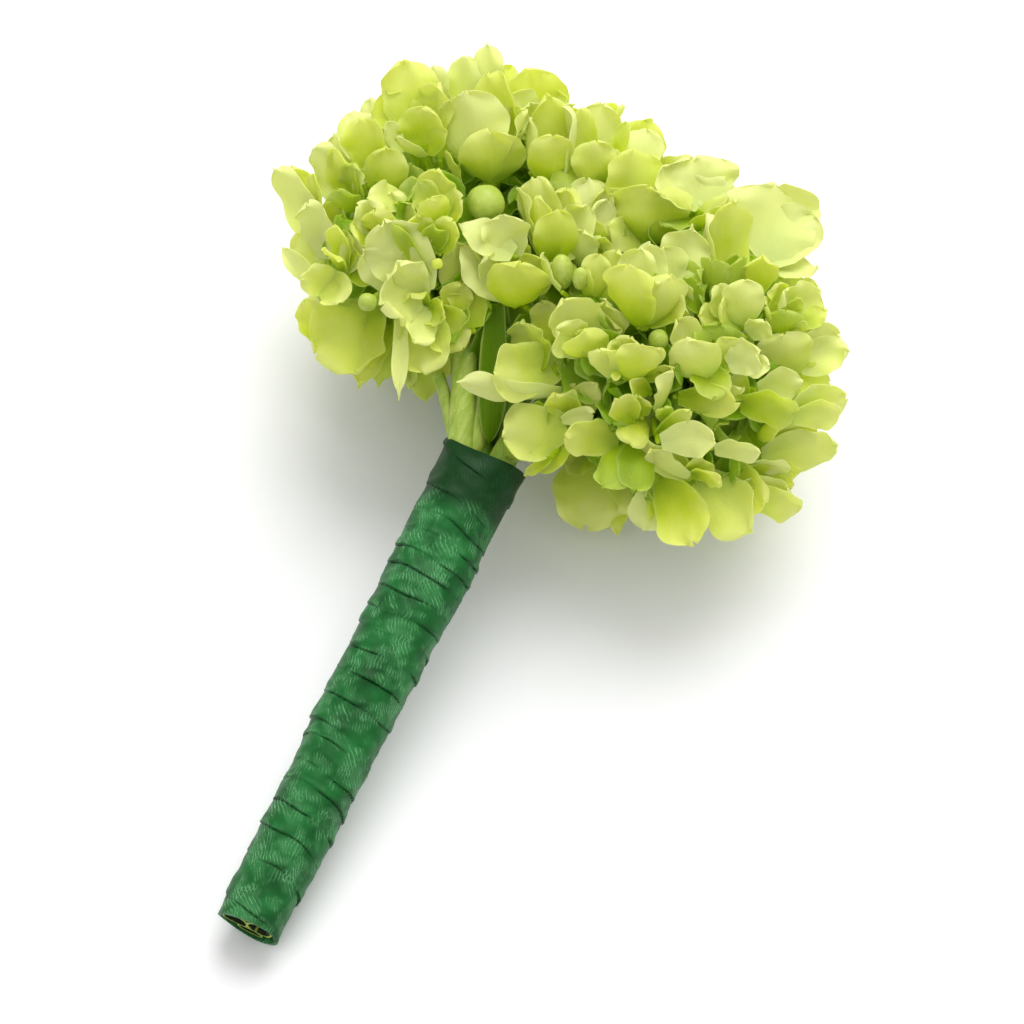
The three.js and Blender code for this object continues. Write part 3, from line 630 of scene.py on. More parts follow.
# What each floret shows. Florets that aren't listed have an even whorl
florets = {
    "left_floret_01": floret((492, 180), 2.5,
        sepal(466, 92, 3.5, 9, 40, 55, 0.85, outward=(-0.45, 0.1, 0.85), foot=(486, 180)),
        sepal(490, 74, -1, 9, 40, 40, 0.4, outward=(0.6, 0.3, -0.7), foot=(506, 172)),
        sepal(524, 110, 2, 6, 35, 45, 0.7, outward=(1, 0, 0.1)),
        sepal(534, 118, 1, 3.5, 40, 30, 0.8, outward=(1, 0, -0.2)),
        sepal(490, 132, 5, 8.6, 48, 85, 0.55, outward=(0.05, -0.3, 1), foot=(494, 183)),
        sepal(446, 152, 1, 3, 30, 30, 0.5, outward=(-1, -0.2, 0.3), foot=(464, 194))),
    "left_floret_02": floret((423, 142), 2,
        sepal(402, 62, 1, 7.6, 30, 35, 0.6, point=0.2),
        sepal(385, 92, 0, 6, 35, 40, 0.55, foot=(408, 142)),
        sepal(438, 84, 2, 5.8, 40, 45, 0.6),
        sepal(424, 108, 2.5, 7, 40, 50, 0.4, foot=(424, 158)),
        sepal(446, 100, 0, 5, 40, 45, 0.3, foot=(440, 160)),
        sepal(398, 137, 3, 2.2, 20, 30, 0.8, outward=(-0.4, -0.6, 0.6), foot=(427, 157)),
        sepal(388, 122, 2, 2.6, 40, 30, 0.9, foot=(402, 155))),
    "left_floret_03": floret((384, 200), 1.5,
        sepal(370, 100, -3, 4.6, 30, 30, 1, foot=(386, 160)),
        sepal(352, 113, -1.5, 6, 30, 35, 0.9, foot=(378, 175)),
        sepal(361, 120, 2, 6.2, 38, 50, 0.45, foot=(376, 182)),
        sepal(334, 136, -3, 5.2, 30, 30, 1, foot=(366, 186)),
        sepal(386, 148, 3.5, 5.6, 48, 60, 0.3, outward=(0, -0.2, 1), foot=(386, 206)),
        sepal(412, 165, 1, 5, 40, 50, 0.1, foot=(400, 208))),
    "left_floret_04": floret((352, 212), 1.5,
        sepal(316, 148, -1, 5.8, 35, 35, 0.95, point=0.2),
        sepal(334, 149, 1, 5.4, 42, 45, 0.35),
        sepal(354, 164, 2.5, 5.5, 42, 60, 0.15),
        sepal(372, 157, 0, 3.2, 40, 30, 0.7, foot=(372, 200)),
        sepal(338, 190, 3, 4.6, 45, 60, 0.1, outward=(-0.2, -0.4, 1))),
    "left_floret_05": floret((326, 262), 1,
        sepal(276, 171, -1, 5.4, 48, 30, 0.85, point=0.5),
        sepal(293, 168, -2.5, 4.4, 40, 30, 0.5, point=0.5, foot=(318, 238)),
        sepal(312, 175, 0, 4.8, 40, 35, 0.3),
        sepal(308, 204, 3, 5.6, 40, 45, 0.9),
        sepal(334, 200, 2, 4.6, 40, 50, 0.3, foot=(334, 242)),
        sepal(300, 232, -1, 6, 35, 40, 0.7)),
    "left_floret_06": floret((345, 272), 0.5,
        sepal(284, 250, -1, 2.8, 38, 30, 1, point=0.9, foot=(322, 290)),
        sepal(302, 278, 3, 4.4, 35, 50, 0.75, foot=(344, 284)),
        sepal(340, 303, 3, 5, 40, 60, 0.7, foot=(326, 272)),
        sepal(333, 226, 2, 3.4, 42, 50, 0.4),
        sepal(347, 230, 1, 4.2, 42, 50, 0.35),
        sepal(359, 238, 2, 3.8, 40, 45, 0.9),
        sepal(326, 250, 4.5, 3.2, 45, 70, 0.5),
        sepal(374, 264, 2, 5, 40, 50, 0.3)),
    "left_floret_07": floret((390, 236), 1,
        sepal(368, 198, 3, 4, 30, 50, 0.75, curl=-60, wave=2, foot=(408, 200)),
        sepal(392, 192, 1, 5, 35, 45, 0.8, wave=2, point=0),
        sepal(358, 206, 2, 4.2, 45, 50, 0.9, foot=(382, 232)),
        sepal(374, 212, 4, 5.2, 48, 80, 0.5, outward=(-0.3, -0.5, 1)),
        sepal(412, 204, 2, 4.2, 42, 50, 0.4),
        sepal(412, 178, -1, 4, 45, 40, 0.1, foot=(412, 222)),
        sepal(352, 224, 1.5, 5, 40, 50, 0.35)),
    "left_floret_08": floret((440, 224), 1,
        sepal(437, 170, -0.5, 5.6, 42, 45, 0.3),
        sepal(461, 198, 1.5, 4.2, 40, 60, 0.45),
        sepal(430, 199, 3.5, 4.2, 45, 80, 0.3, outward=(0, -0.5, 1)),
        sepal(416, 216, 2.5, 4.4, 40, 50, 0.45, foot=(420, 254)),
        sepal(452, 222, 3, 4, 45, 50, 0.5, foot=(440, 254)),
        sepal(434, 226, 2.5, 3.6, 45, 50, 0.1, foot=(436, 252)),
        sepal(420, 182, -1, 4, 40, 40, 0.2),
        heart=(438, 265)),
    "left_floret_09": floret((424, 298), 1.5,
        sepal(384, 222, 2.5, 8.4, 14, 25, 0.9, wave=1.6),
        sepal(364, 250, 1, 6.4, 20, 25, 0.9, wave=1.5),
        sepal(384, 303, 3, 6, 15, 40, 0.8, wave=2.2),
        sepal(394, 225, 3.8, 2.6, 50, 20, 0.1, foot=(434, 286)),
        sepal(398, 262, 3.8, 5, 20, 50, 0.85, wave=2.6)),
    "left_floret_10": floret((426, 306), 0,
        sepal(415, 342, 3, 4.4, 30, 40, 0.8, foot=(430, 306)),
        sepal(409, 295, 2.5, 4, 40, 50, 0.4),
        sepal(444, 316, 2.5, 3.4, 40, 50, 0.25),
        sepal(399, 391, 1, 2.3, 60, 15, 1, point=1, foot=(402, 298)),
        sepal(424, 373, 0.5, 7.2, 40, 40, 0.6, point=0),
        sepal(462, 348, 0, 6, 40, 40, 0.4),
        sepal(462, 284, 1, 4.4, 42, 50, 0.3, foot=(448, 312)),
        sepal(456, 244, 1.5, 6, 25, 30, 0.5, point=0.6, foot=(474, 332)),
        sepal(470, 318, -1.5, 5.6, 35, 40, 0.5),
        inner=1),
    "left_floret_11": floret((392, 300), 0.5,
        sepal(316, 354, 1.5, 10, 14, 20, 0.6, wave=1, point=0, foot=(385, 312)),
        sepal(356, 373, 1, 9.6, 12, 20, 0.5, wave=1, point=0, foot=(366, 296)),
        sepal(305, 300, -1.5, 4.6, 55, 25, 0.3, foot=(322, 348)),
        sepal(360, 381, -1, 6, 20, 20, 0.3, point=1),
        sepal(379, 380, -1, 5, 20, 20, 0.15, point=1),
        sepal(396, 381, -2, 5, 25, 25, 0.15, point=1),
        sepal(425, 397, -3, 4.2, 25, 25, 0.15, point=1, foot=(416, 340)),
        sepal(409, 386, -2.5, 3.4, 25, 25, 0.2, point=1, foot=(404, 340)),
        sepal(438, 380, -2.5, 4.4, 25, 25, 0.35, foot=(430, 330))),
    "left_floret_12": floret((513, 298), 1.5,
        sepal(463, 226, 3.5, 4.8, 25, 30, 1, point=0.9, lift=2.5, foot=(516, 256)),
        sepal(502, 216, 4.5, 6.4, 35, 40, 0.95, lift=1.5, foot=(512, 262)),
        sepal(463, 246, 2, 6.6, 25, 35, 0.9, curl=-30),
        sepal(508, 240, 2, 6.2, 42, 55, 0.45),
        sepal(487, 256, 5, 3, 35, 50, 0.95, foot=(498, 294)),
        sepal(520, 264, 6, 8.2, 42, 100, 0.4, curl=-30, outward=(0, -0.4, 1), foot=(515, 307)),
        sepal(546, 262, 2, 5.5, 40, 60, 0.3),
        # these three are dark sheets in the shade by the neck, darkened by their tone as painted shade
        sepal(489, 441, -1.5, 3.6, 25, 15, -1.1, foot=(498, 280)),
        sepal(508, 400, -4, 5.5, 25, 15, -0.9, foot=(530, 310)),
        sepal(482, 372, -4.5, 5, 25, 15, -0.9, foot=(500, 300))),
    "left_floret_13": floret((485, 112), 0,
        sepal(487, 46, 3, 4.6, 28, 25, 1, point=0.4, foot=(491, 120)),
        sepal(466, 57, 3, 5, 28, 25, 1, point=0.1, foot=(468, 125)),
        sepal(434, 67, 3, 4.4, 28, 25, 1, foot=(440, 125)),
        sepal(513, 67, 1, 3.4, 30, 30, 0.6)),
    "middle_floret_01": floret((552, 266), 1.5,
        sepal(519, 189, 1, 5.2, 45, 50, 0.75, outward=(-1, 0, 0.1)),
        sepal(534, 178, 0, 5.2, 30, 40, 0.65, wave=2.2, point=0),
        sepal(536, 198, 3, 5.8, 42, 70, 0.35, outward=(-0.6, -0.1, 0.8)),
        sepal(566, 190, 0, 6.4, 35, 50, 0.3, wave=1.8),
        sepal(558, 211, 5, 5.8, 45, 90, 0.3, outward=(0.1, -0.4, 1)),
        sepal(586, 206, 1.5, 5.2, 30, 45, 0.8, wave=2.2)),
    "middle_floret_02": floret((545, 138), 1.5,
        sepal(527, 70, 0, 8.6, 30, 40, 0.35, point=0),
        sepal(556, 90, -1, 6.2, 35, 40, 0.35),
        sepal(512, 96, 2, 6.2, 38, 50, 0.85),
        sepal(531, 104, 2.5, 5, 42, 60, 0.85)),
    "middle_floret_03": floret((560, 190), 2,
        sepal(547, 98, 1, 6.2, 42, 50, 0.35, point=0.7),
        sepal(567, 106, 1, 6.8, 42, 45, 0.9, outward=(0.9, 0.2, -0.1)),
        sepal(553, 136, 4.5, 6.4, 46, 80, 0.4, outward=(0, -0.3, 1), foot=(550, 182)),
        sepal(531, 118, 1, 3.2, 45, 30, 0.8, outward=(-1, 0, 0.2), foot=(530, 172)),
        sepal(563, 193, 3, 3.6, 45, 50, 0.1, outward=(0.2, -0.4, 1), foot=(564, 160))),
    "middle_floret_04": floret((592, 188), 1.5,
        sepal(602, 104, -0.5, 6.8, 35, 35, 0.8),
        sepal(626, 122, 1, 2.2, 55, 20, 0.22, foot=(611, 172)),
        sepal(646, 130, -2, 5.8, 25, 30, 1, point=0, wave=1.4, foot=(634, 182)),
        sepal(582, 109, 1, 3.8, 40, 40, 0.5),
        sepal(596, 142, 3.5, 6, 42, 70, 0.6, outward=(0.2, -0.3, 1)),
        sepal(614, 150, 1, 4.4, 40, 50, 0.4)),
    "middle_floret_05": floret((648, 244), 2.5,
        sepal(632, 152, 0, 9, 30, 40, 0.45, point=0.1, foot=(640, 225)),
        sepal(605, 188, 2, 6, 42, 60, 0.6, foot=(630, 240)),
        sepal(650, 188, 3.5, 11, 40, 70, 0.5, outward=(0, -0.4, 1), point=0),
        sepal(678, 182, 0.5, 5, 30, 40, 0.9),
        sepal(608, 228, 3, 4.6, 45, 60, 0.6)),
    "middle_floret_06": floret((588, 262), 1,
        sepal(588, 180, -1, 7, 30, 30, 1, point=0.1),
        sepal(594, 221, 1, 3.6, 40, 50, 0.3),
        sepal(583, 231, 3, 4.6, 50, 80, 0.85, outward=(-0.3, 0.1, 1), foot=(582, 268)),
        sepal(602, 238, 2, 3.6, 45, 70, 0.25, foot=(592, 270)),
        sepal(606, 200, 0, 4.6, 35, 40, 1)),
    "right_floret_01": floret((702, 210), 0,
        sepal(694, 158, -0.5, 10.4, 22, 25, 0.9, point=0, outward=(0, -0.4, -1)),
        sepal(726, 180, 0, 6.8, 30, 35, 0.9),
        sepal(662, 168, 0, 6.8, 30, 35, 0.8),
        sepal(728, 198, 2.5, 3, 50, 20, 0.6, foot=(682, 226)),
        sepal(722, 207, 3.5, 2.6, 50, 20, 0.2, foot=(678, 238)),
        sepal(664, 226, 2, 5, 40, 45, 0.05)),
    "right_floret_02": floret((766, 264), 1,
        sepal(774, 186, -1.5, 13, 14, 18, 1, point=0, wave=1, outward=(-0.2, -0.3, -1)),
        sepal(812, 214, -2.5, 7, 20, 25, 0.95, point=0, outward=(-0.2, -0.3, -1)),
        sepal(818, 268, -1, 4.6, 30, 30, 0.95, point=0),
        sepal(820, 292, -1, 5, 30, 30, 0.85, point=0, foot=(776, 290)),
        sepal(748, 272, 3.5, 4.6, 40, 60, 0.3),
        sepal(742, 190, -2.5, 5, 20, 25, 0.9)),
    "right_floret_03": floret((728, 298), 2,
        sepal(732, 203, 0, 6.6, 35, 50, 0.5, point=0.2),
        sepal(708, 214, 1, 5.2, 38, 45, 0.9, outward=(-0.9, 0.1, 0)),
        sepal(712, 260, 4.5, 5.2, 50, 80, 0.1, outward=(-0.4, -0.3, 1), foot=(712, 302)),
        sepal(742, 257, 4, 3.8, 60, 60, 0.1, outward=(0.6, -0.2, 0.8), foot=(728, 300)),
        sepal(735, 255, 2.5, 3, 60, 30, 0, foot=(728, 294)),
        sepal(762, 256, 2.5, 5.6, 42, 55, 0.35, foot=(750, 302))),
    "right_floret_04": floret((740, 324), 1,
        sepal(745, 281, 3, 5.6, 45, 80, 0.75, outward=(0.1, -0.3, 1), foot=(742, 326)),
        sepal(717, 286, 2, 4, 42, 50, 0.75, foot=(724, 318)),
        sepal(700, 316, 2, 4.2, 40, 50, 0.3),
        sepal(765, 322, 1.5, 4, 40, 50, 0.8, foot=(748, 336)),
        sepal(722, 304, 3.5, 3.6, 45, 60, 0.6)),
    "right_floret_05": floret((784, 318), 0.5,
        sepal(818, 292, -1, 6.6, 35, 40, 0.8, point=0.1),
        sepal(786, 311, 3.8, 5.2, 45, 85, 0.1, outward=(0, -0.6, 0.9), foot=(783, 335)),
        sepal(778, 284, 1, 4.6, 42, 50, 0.4),
        sepal(766, 306, 3, 3.6, 45, 60, 0.3),
        sepal(784, 291, 3.5, 3, 45, 60, 0.9),
        sepal(825, 311, -0.5, 2.8, 35, 25, 0.6, point=1, foot=(796, 328)),
        inner=2),
    "right_floret_06": floret((676, 286), 1.5,
        sepal(690, 229, 0, 6.4, 25, 35, 0.85, point=0.9, wave=1.4),
        sepal(664, 248, 0.5, 5, 30, 40, 0.8),
        sepal(684, 279, 2.5, 3.4, 60, 30, 0, foot=(702, 312)),
        sepal(683, 285, 3, 2.6, 45, 50, 0.9, foot=(688, 310)),
        sepal(681, 302, 3.5, 2.8, 50, 60, 1, foot=(694, 320)),
        sepal(700, 268, 0.5, 4, 45, 50, 0.1)),
    "right_floret_07": floret((644, 324), 2,
        sepal(640, 249, 1, 5.2, 42, 55, 0.85, foot=(634, 318)),
        sepal(628, 266, 4, 7.2, 48, 85, 0.45, outward=(-0.5, -0.3, 1), foot=(638, 327)),
        sepal(670, 276, 3.5, 6.2, 50, 80, 0.6, outward=(0.6, -0.2, 0.8), foot=(650, 325)),
        sepal(656, 282, 4.5, 3.2, 50, 80, 0.8, foot=(650, 312)),
        sepal(655, 274, 2, 5.2, 45, 60, 0.05, foot=(650, 310)),
        sepal(650, 244, 0, 4.4, 25, 40, 1, foot=(652, 300)),
        sepal(678, 292, 2, 5, 42, 60, 0.3)),
    "right_floret_08": floret((602, 300), 1,
        sepal(600, 255, 3, 4, 55, 70, 0.6, outward=(-0.3, -0.1, 1), foot=(594, 298)),
        sepal(617, 251, 2.5, 4.4, 55, 60, 0.55, outward=(-0.2, -0.1, 1), foot=(608, 304)),
        sepal(586, 268, 2.5, 3, 55, 60, 0.5, outward=(-0.5, -0.1, 1), foot=(586, 296)),
        sepal(542, 254, -1.5, 3.8, 40, 40, 0.8, outward=(-1, -0.2, 0.1), foot=(562, 292)),
        sepal(606, 300, 3, 2.4, 45, 60, 0.9, foot=(604, 314))),
    "right_floret_09": floret((591, 346), 1.5,
        sepal(564, 300, 2, 7.4, 46, 60, 0.75, wave=0.4),
        sepal(604, 304, 1, 7.4, 46, 55, 0.3, wave=0.4),
        sepal(620, 330, 2, 5.6, 46, 55, 0.3, wave=0.4),
        sepal(584, 332, 4.8, 5.8, 42, 90, 0.25, outward=(0, -0.5, 0.8), foot=(590, 357)),
        sepal(558, 330, 3, 5.6, 45, 70, 0.8, foot=(586, 354)),
        inner=4),
    "right_floret_10": floret((626, 374), 1,
        sepal(642, 345, 3.5, 5.6, 45, 85, 0.5, outward=(0.3, -0.3, 1), foot=(630, 379)),
        sepal(600, 350, 3, 3.8, 45, 60, 0.7, foot=(616, 377)),
        sepal(630, 338, 1.5, 4, 45, 50, 0.55, foot=(622, 366)),
        sepal(614, 340, 1, 3.8, 45, 50, 0.3),
        sepal(661, 349, 2.5, 2.2, 40, 30, 0.6, foot=(645, 368)),
        sepal(614, 380, 1.5, 1.2, 40, 40, 0.5, foot=(618, 368))),
    "right_floret_11": floret((552, 372), 0.5,
        sepal(522, 322, 0, 7.2, 36, 45, 0.2, point=0.1, foot=(540, 374)),
        sepal(494, 374, 3.5, 7.4, 26, 40, 0.6, point=0.2, foot=(568, 360)),
        sepal(461, 382, 2, 4, 45, 50, 1, point=0.4, outward=(0, -0.8, 0.6), foot=(566, 392)),
        sepal(544, 303, -1.5, 4.4, 35, 40, 0.4, foot=(550, 345)),
        sepal(590, 368, -2, 6, 30, 30, 0)),
    "right_floret_12": floret((572, 418), 1.5,
        sepal(504, 438, 0, 7.4, 8, 15, 0.6, point=0, foot=(570, 426)),
        sepal(596, 385, 3, 3.8, 35, 50, 0.6, point=0.8),
        sepal(556, 394, 2.5, 5, 45, 60, 0.4),
        sepal(592, 414, 3.5, 2.4, 40, 40, 0.85, foot=(560, 421)),
        sepal(576, 386, 1.5, 4, 45, 60, 0.2),
        sepal(506, 456, -2.5, 5, 30, 20, 0.05, foot=(548, 404)),
        sepal(526, 474, -2, 1.6, 40, 20, 0.3, point=0.8, foot=(552, 456)),
        sepal(540, 470, -2.5, 3, 35, 20, 0.2, foot=(572, 440))),
    "right_floret_13": floret((712, 374), 1.5,
        sepal(720, 324, 0, 7.2, 45, 60, 0.05, point=0),
        sepal(686, 340, 4, 7.2, 50, 85, 0.7, wave=0.6, outward=(-0.3, -0.4, 0.8), foot=(708, 378)),
        sepal(677, 320, 1.5, 4.6, 40, 50, 0.6),
        sepal(759, 352, 2, 4.8, 25, 40, 0.95, wave=1.6, foot=(726, 366)),
        sepal(769, 366, 1.5, 3, 30, 40, 1, foot=(742, 368)),
        sepal(714, 397, 2, 5.8, 40, 45, 0.15, point=0.5, foot=(704, 364)),
        sepal(738, 340, 1, 4.4, 42, 50, 0.3)),
    "right_floret_14": floret((788, 370), 0.5,
        sepal(838, 334, -1, 5, 35, 35, 0.95, foot=(798, 352)),
        sepal(846, 350, 0, 5, 40, 35, 0.85, point=0.8, foot=(795, 368)),
        sepal(784, 335, 3.5, 7.2, 42, 70, 0.65, outward=(0.3, -0.3, 1), foot=(786, 380)),
        sepal(829, 382, -1, 5, 35, 35, 0.6, foot=(786, 380)),
        sepal(812, 326, 0, 5, 35, 40, 0.7)),
    "right_floret_15": floret((748, 396), 0.5,
        sepal(800, 381, 1, 4.6, 28, 30, 1, point=0.9, foot=(756, 390)),
        sepal(797, 410, 1.5, 5.2, 42, 40, 0.2, foot=(738, 402)),
        sepal(742, 389, 3, 2, 50, 20, 0.8, foot=(714, 397)),
        sepal(846, 397, -1, 5.8, 35, 35, 0.8, foot=(790, 410)),
        sepal(840, 411, 0, 4.2, 35, 35, 0.7, foot=(790, 418)),
        sepal(728, 380, 2, 3.6, 45, 50, 0.2)),
    "right_floret_16": floret((768, 446), 0,
        sepal(816, 428, 1, 4.8, 40, 40, 0.75, foot=(772, 438)),
        sepal(836, 447, 0, 6, 36, 35, 0.8, point=0.3, foot=(758, 457)),
        sepal(806, 416, 1.5, 3, 35, 40, 0.2, foot=(780, 430)),
        sepal(781, 428, 3, 3.2, 50, 60, 0.5, foot=(756, 436)),
        sepal(726, 426, 0, 5.4, 40, 50, 0)),
    "right_floret_17": floret((662, 402), 1,
        sepal(630, 382, 3, 2.6, 45, 50, 0.3, foot=(650, 394)),
        sepal(677, 369, 2.5, 2.2, 50, 20, 0.3, foot=(638, 380)),
        sepal(672, 371, 3, 4.4, 65, 60, 0.75, outward=(1, 0, 0.2), foot=(656, 411)),
        sepal(618, 399, 3, 4.2, 45, 50, 0.45, foot=(634, 422)),
        sepal(638, 397, 2, 3.6, 45, 50, 0.2, foot=(642, 418)),
        sepal(736, 402, 2, 4.4, 45, 30, 0.4, foot=(675, 397)),
        sepal(690, 411, 4, 2.4, 60, 30, 0.2, foot=(656, 435)),
        sepal(664, 408, 3.5, 2.4, 45, 50, 0.1, foot=(668, 424))),
    "right_floret_18": floret((636, 440), 1,
        sepal(567, 438, 2, 5.2, 22, 30, 0.55, point=0, foot=(622, 440)),
        sepal(631, 444, 4.5, 4.2, 40, 60, 0.3, point=0, outward=(0, -0.3, 1), foot=(638, 412)),
        sepal(604, 487, 2.5, 5.4, 45, 60, 0.05, outward=(-0.6, 0.2, 0.7)),
        sepal(636, 490, 3, 5.4, 45, 60, 0, outward=(0.3, 0.3, 0.9)),
        sepal(656, 400, 1, 5, 40, 50, 0.1)),
    "right_floret_19": floret((690, 478), 1,
        sepal(715, 441, 7.5, 4.6, 15, 20, 1, point=0, wave=1.2, lift=5, foot=(658, 442)),
        sepal(641, 436, 3, 5.4, 45, 60, 0.8, outward=(-0.8, -0.5, 0.3)),
        sepal(652, 450, 4, 4.4, 45, 60, 0.7),
        sepal(720, 478, 3.5, 3.8, 48, 60, 0.45, foot=(690, 474)),
        sepal(759, 452, 4, 3.4, 20, 20, 0.9, lift=2, foot=(712, 449)),
        sepal(704, 460, 2, 4, 45, 50, 0.2)),
    "right_floret_20": floret((662, 474), 1,
        sepal(694, 543, 2, 7.2, 38, 45, 0.3, point=0.1),
        sepal(645, 530, -2, 5.4, 25, 30, 0.95, point=0),
        sepal(664, 532, -2, 4, 25, 30, 0.3),
        sepal(644, 486, 1, 5, 35, 45, 0.2)),
    "right_floret_21": floret((700, 474), 0.5,
        sepal(750, 530, 2.5, 7.8, 36, 45, 0.7, point=0.1),
        sepal(790, 468, 1.5, 2.8, 25, 25, 0.95, foot=(750, 465)),
        sepal(801, 508, -1.5, 5, 30, 30, 0.7, foot=(742, 494)),
        sepal(801, 471, 0, 3.6, 30, 30, 0.5, foot=(752, 468)),
        sepal(792, 484, -0.5, 4.6, 30, 30, 0.4, foot=(738, 474)),
        sepal(790, 494, -1, 4.6, 30, 30, 0.9, foot=(738, 486)),
        sepal(722, 535, -2, 4.4, 30, 30, 0.5),
        sepal(764, 505, 1.5, 6, 38, 40, 0.5, foot=(712, 462))),
    "right_floret_23": floret((606, 452), 0,
        sepal(586, 528, 1, 10.4, 16, 25, 0.65, point=0, foot=(602, 450)),
        sepal(636, 514, 0.5, 6, 20, 25, 0.6, point=0),
        sepal(617, 532, -0.5, 2.6, 30, 25, 0.5, point=1, foot=(620, 500)),
        sepal(561, 462, -1, 6.5, 25, 30, 0.3)),
}

# Wider sepals lower down each floret, which close the head between one floret and the next. Their
# tones below 0 paint them greener, partly as painted light that comes through the sepals above
undergrowth = [
    {"below": 4.7, "count": 3, "size": 7.6, "opening": 56, "width": 6.8, "cup": 44, "arch": 70,
     "tone": (-0.16, 0.1)},
    {"below": 6.8, "count": 4, "size": 8.4, "opening": 64, "width": 7.8, "cup": 34, "arch": 60,
     "tone": (-0.25, -0.1)},
    {"below": 8.8, "count": 4, "size": 7.4, "opening": 68, "width": 7.2, "cup": 34, "arch": 60,
     "tone": (-0.3, -0.2)},
]
towardsMost = 0.72    # one of these that points more towards the viewer is left out
plainFloret = {"count": 4, "size": (7.4, 9.2), "opening": (55, 75), "width": 0.82, "cup": 32,
               "arch": 50}
innerSepals = {"size": 3.4, "opening": 28, "width": 2.6, "cup": 50, "arch": 70, "tone": 0.2}
# How a listed sepal is set. eye: how far its floret's eye is below the frame's floret's top.
# turned: how far its face turns to the viewer. cup: the share of its cup that it is bent by.
# Those seen from behind, whose back looks more than behind at the viewer, are flatter
setting = {"eye": 0.35, "turned": 0.5, "edgeOn": 0.05, "cup": 0.85, "behind": 0.5,
           "behindCup": 0.75, "behindArch": 0.62}


def turnedFacing(facing, ahead):
    across = facing - (facing @ ahead) * ahead
    towards = math.copysign(setting["turned"], across @ seenTowards + setting["edgeOn"])
    return unit(facing + seenTowards * towards)


def addShown(piece, shown, look, centre, facing, depth, rng):
    more = dict(shown["more"])
    apart = "foot" in more
    base = seenAt(*more.pop("foot", look["foot"]), depth + more.pop("lift", 0.0))
    tip = seenAt(shown["x"], shown["y"], depth + shown["rise"]) - base
    cup, arch = shown["cup"] * setting["cup"], shown["arch"]
    if more.get("outward", (0, 0, 0))[2] > setting["behind"]:
        cup, arch = cup * setting["behindCup"], arch * setting["behindArch"]
    addSepal(piece, base, turnedFacing(facing, unit(tip)), tip, shown["width"], cup, arch, rng, **more)
    if apart:
        addStalk(piece, centre + (base - centre) * stalk["leaves"], base, stalk["thinRadii"], rng)


def addFloretStalk(piece, centre, foot, facing, rng):
    start = centre + facing * handle["knuckle"]
    addStalk(piece, start, foot - facing * stalk["short"], stalk["radii"], rng)


def makeFloret(name):
    rng = random.Random(name)
    centre, facing, reach = placeOf(name)
    foot = centre + facing * (reach - setting["eye"])
    piece = newPiece()
    look = florets.get(name)
    if look:
        depth = (foot - tapeEnd) @ seenTowards - look["sink"]
        foot = seenAt(*look["foot"], depth)
        for shown in look["sepals"]:
            addShown(piece, shown, look, centre, facing, depth, rng)
        if look["inner"]:
            whorl = {**innerSepals, "count": look["inner"]}
            addWhorl(piece, foot, facing, whorl, rng, whorl["tone"])
        if look["heart"]:
            eye = seenAt(*look["heart"], depth + heart["shownRise"])
            addHeart(piece, eye, facing, heart["shownRadius"], rng)
    else:
        size = rng.uniform(*plainFloret["size"])
        opening = rng.uniform(*plainFloret["opening"])
        width = size * plainFloret["width"]
        whorl = {**plainFloret, "size": size, "opening": opening, "width": width}
        addWhorl(piece, foot, facing, whorl, rng)
        addHeart(piece, foot, facing, heart["radius"], rng)
    for layer in undergrowth:
        tone = rng.uniform(*layer["tone"])
        addWhorl(piece, foot - facing * layer["below"], facing, layer, rng, tone, fine=False,
                 towardsMost=towardsMost if look else 1.0)
    addFloretStalk(piece, centre, foot, facing, rng)
    finishPiece(piece, f"sepals_{name}", sepalMaterial, [name])
    return len(piece["faces"])


floretNames = [name for name in sorted(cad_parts) if "_floret_" in name]
print("florets made:", sum(makeFloret(name) for name in floretNames), "faces")

# More plain florets on the side away from the viewer, wherever a head still has an open place.
# apart: degrees from the next. reach: by the head's own. behind, fromHandle: how far round from
# the viewer and from the handle. clear, lowest: millimetres from the other heads and the table
backFlorets = {"tries": 150, "apart": 34.0, "reach": 0.86, "behind": -0.12, "fromHandle": -0.45,
               "clear": 11.0, "lowest": 3.0, "tone": 0.25}
backWhorl = {"count": 4, "size": 8.0, "opening": 66, "width": 7.0, "cup": 32, "arch": 50}


def openPlaces(hubName):
    own = [placeOf(name) for name in floretNames if name.startswith(hubName)]
    taken, reach = [facing for _, facing, _ in own], np.mean([reach for _, _, reach in own])
    others = [hub for other, hub in hubs.items() if other != hubName]
    nearest = math.cos(math.radians(backFlorets["apart"]))
    found = []
    for i in range(backFlorets["tries"]):
        height = 1 - (2 * i + 1) / backFlorets["tries"]
        turn = i * math.pi * (3 - math.sqrt(5))    # the golden angle, which spreads them evenly
        facing = np.array([math.cos(turn), math.sin(turn), 0]) * math.sqrt(1 - height * height)
        facing[2] = height
        foot = hubs[hubName] + facing * reach * backFlorets["reach"]
        seen = facing @ seenTowards > backFlorets["behind"]
        inHandle = facing @ handleAxis < backFlorets["fromHandle"]
        low = foot[2] < backFlorets["lowest"]
        inOther = min(np.linalg.norm(foot - hub) for hub in others) < backFlorets["clear"]
        if seen or inHandle or low or inOther or max(facing @ other for other in taken) > nearest:
            continue
        taken.append(facing)
        found.append((hubs[hubName], foot, facing))
    return found


def makeBackFloret(number, hub, foot, facing):
    rng = random.Random(f"back {number}")
    piece = newPiece()
    addWhorl(piece, foot, facing, backWhorl, rng)
    addHeart(piece, foot, facing, heart["radius"], rng)
    layer = undergrowth[0]
    addWhorl(piece, foot - facing * layer["below"], facing, layer, rng, backFlorets["tone"], fine=False)
    addFloretStalk(piece, hub, foot, facing, rng)
    finishPiece(piece, f"back_floret_{number:02d}", sepalMaterial)


backPlaces = [place for hubName in hubs for place in openPlaces(hubName)]
for number, found in enumerate(backPlaces, 1):
    makeBackFloret(number, *found)
print("florets at the back:", len(backPlaces))

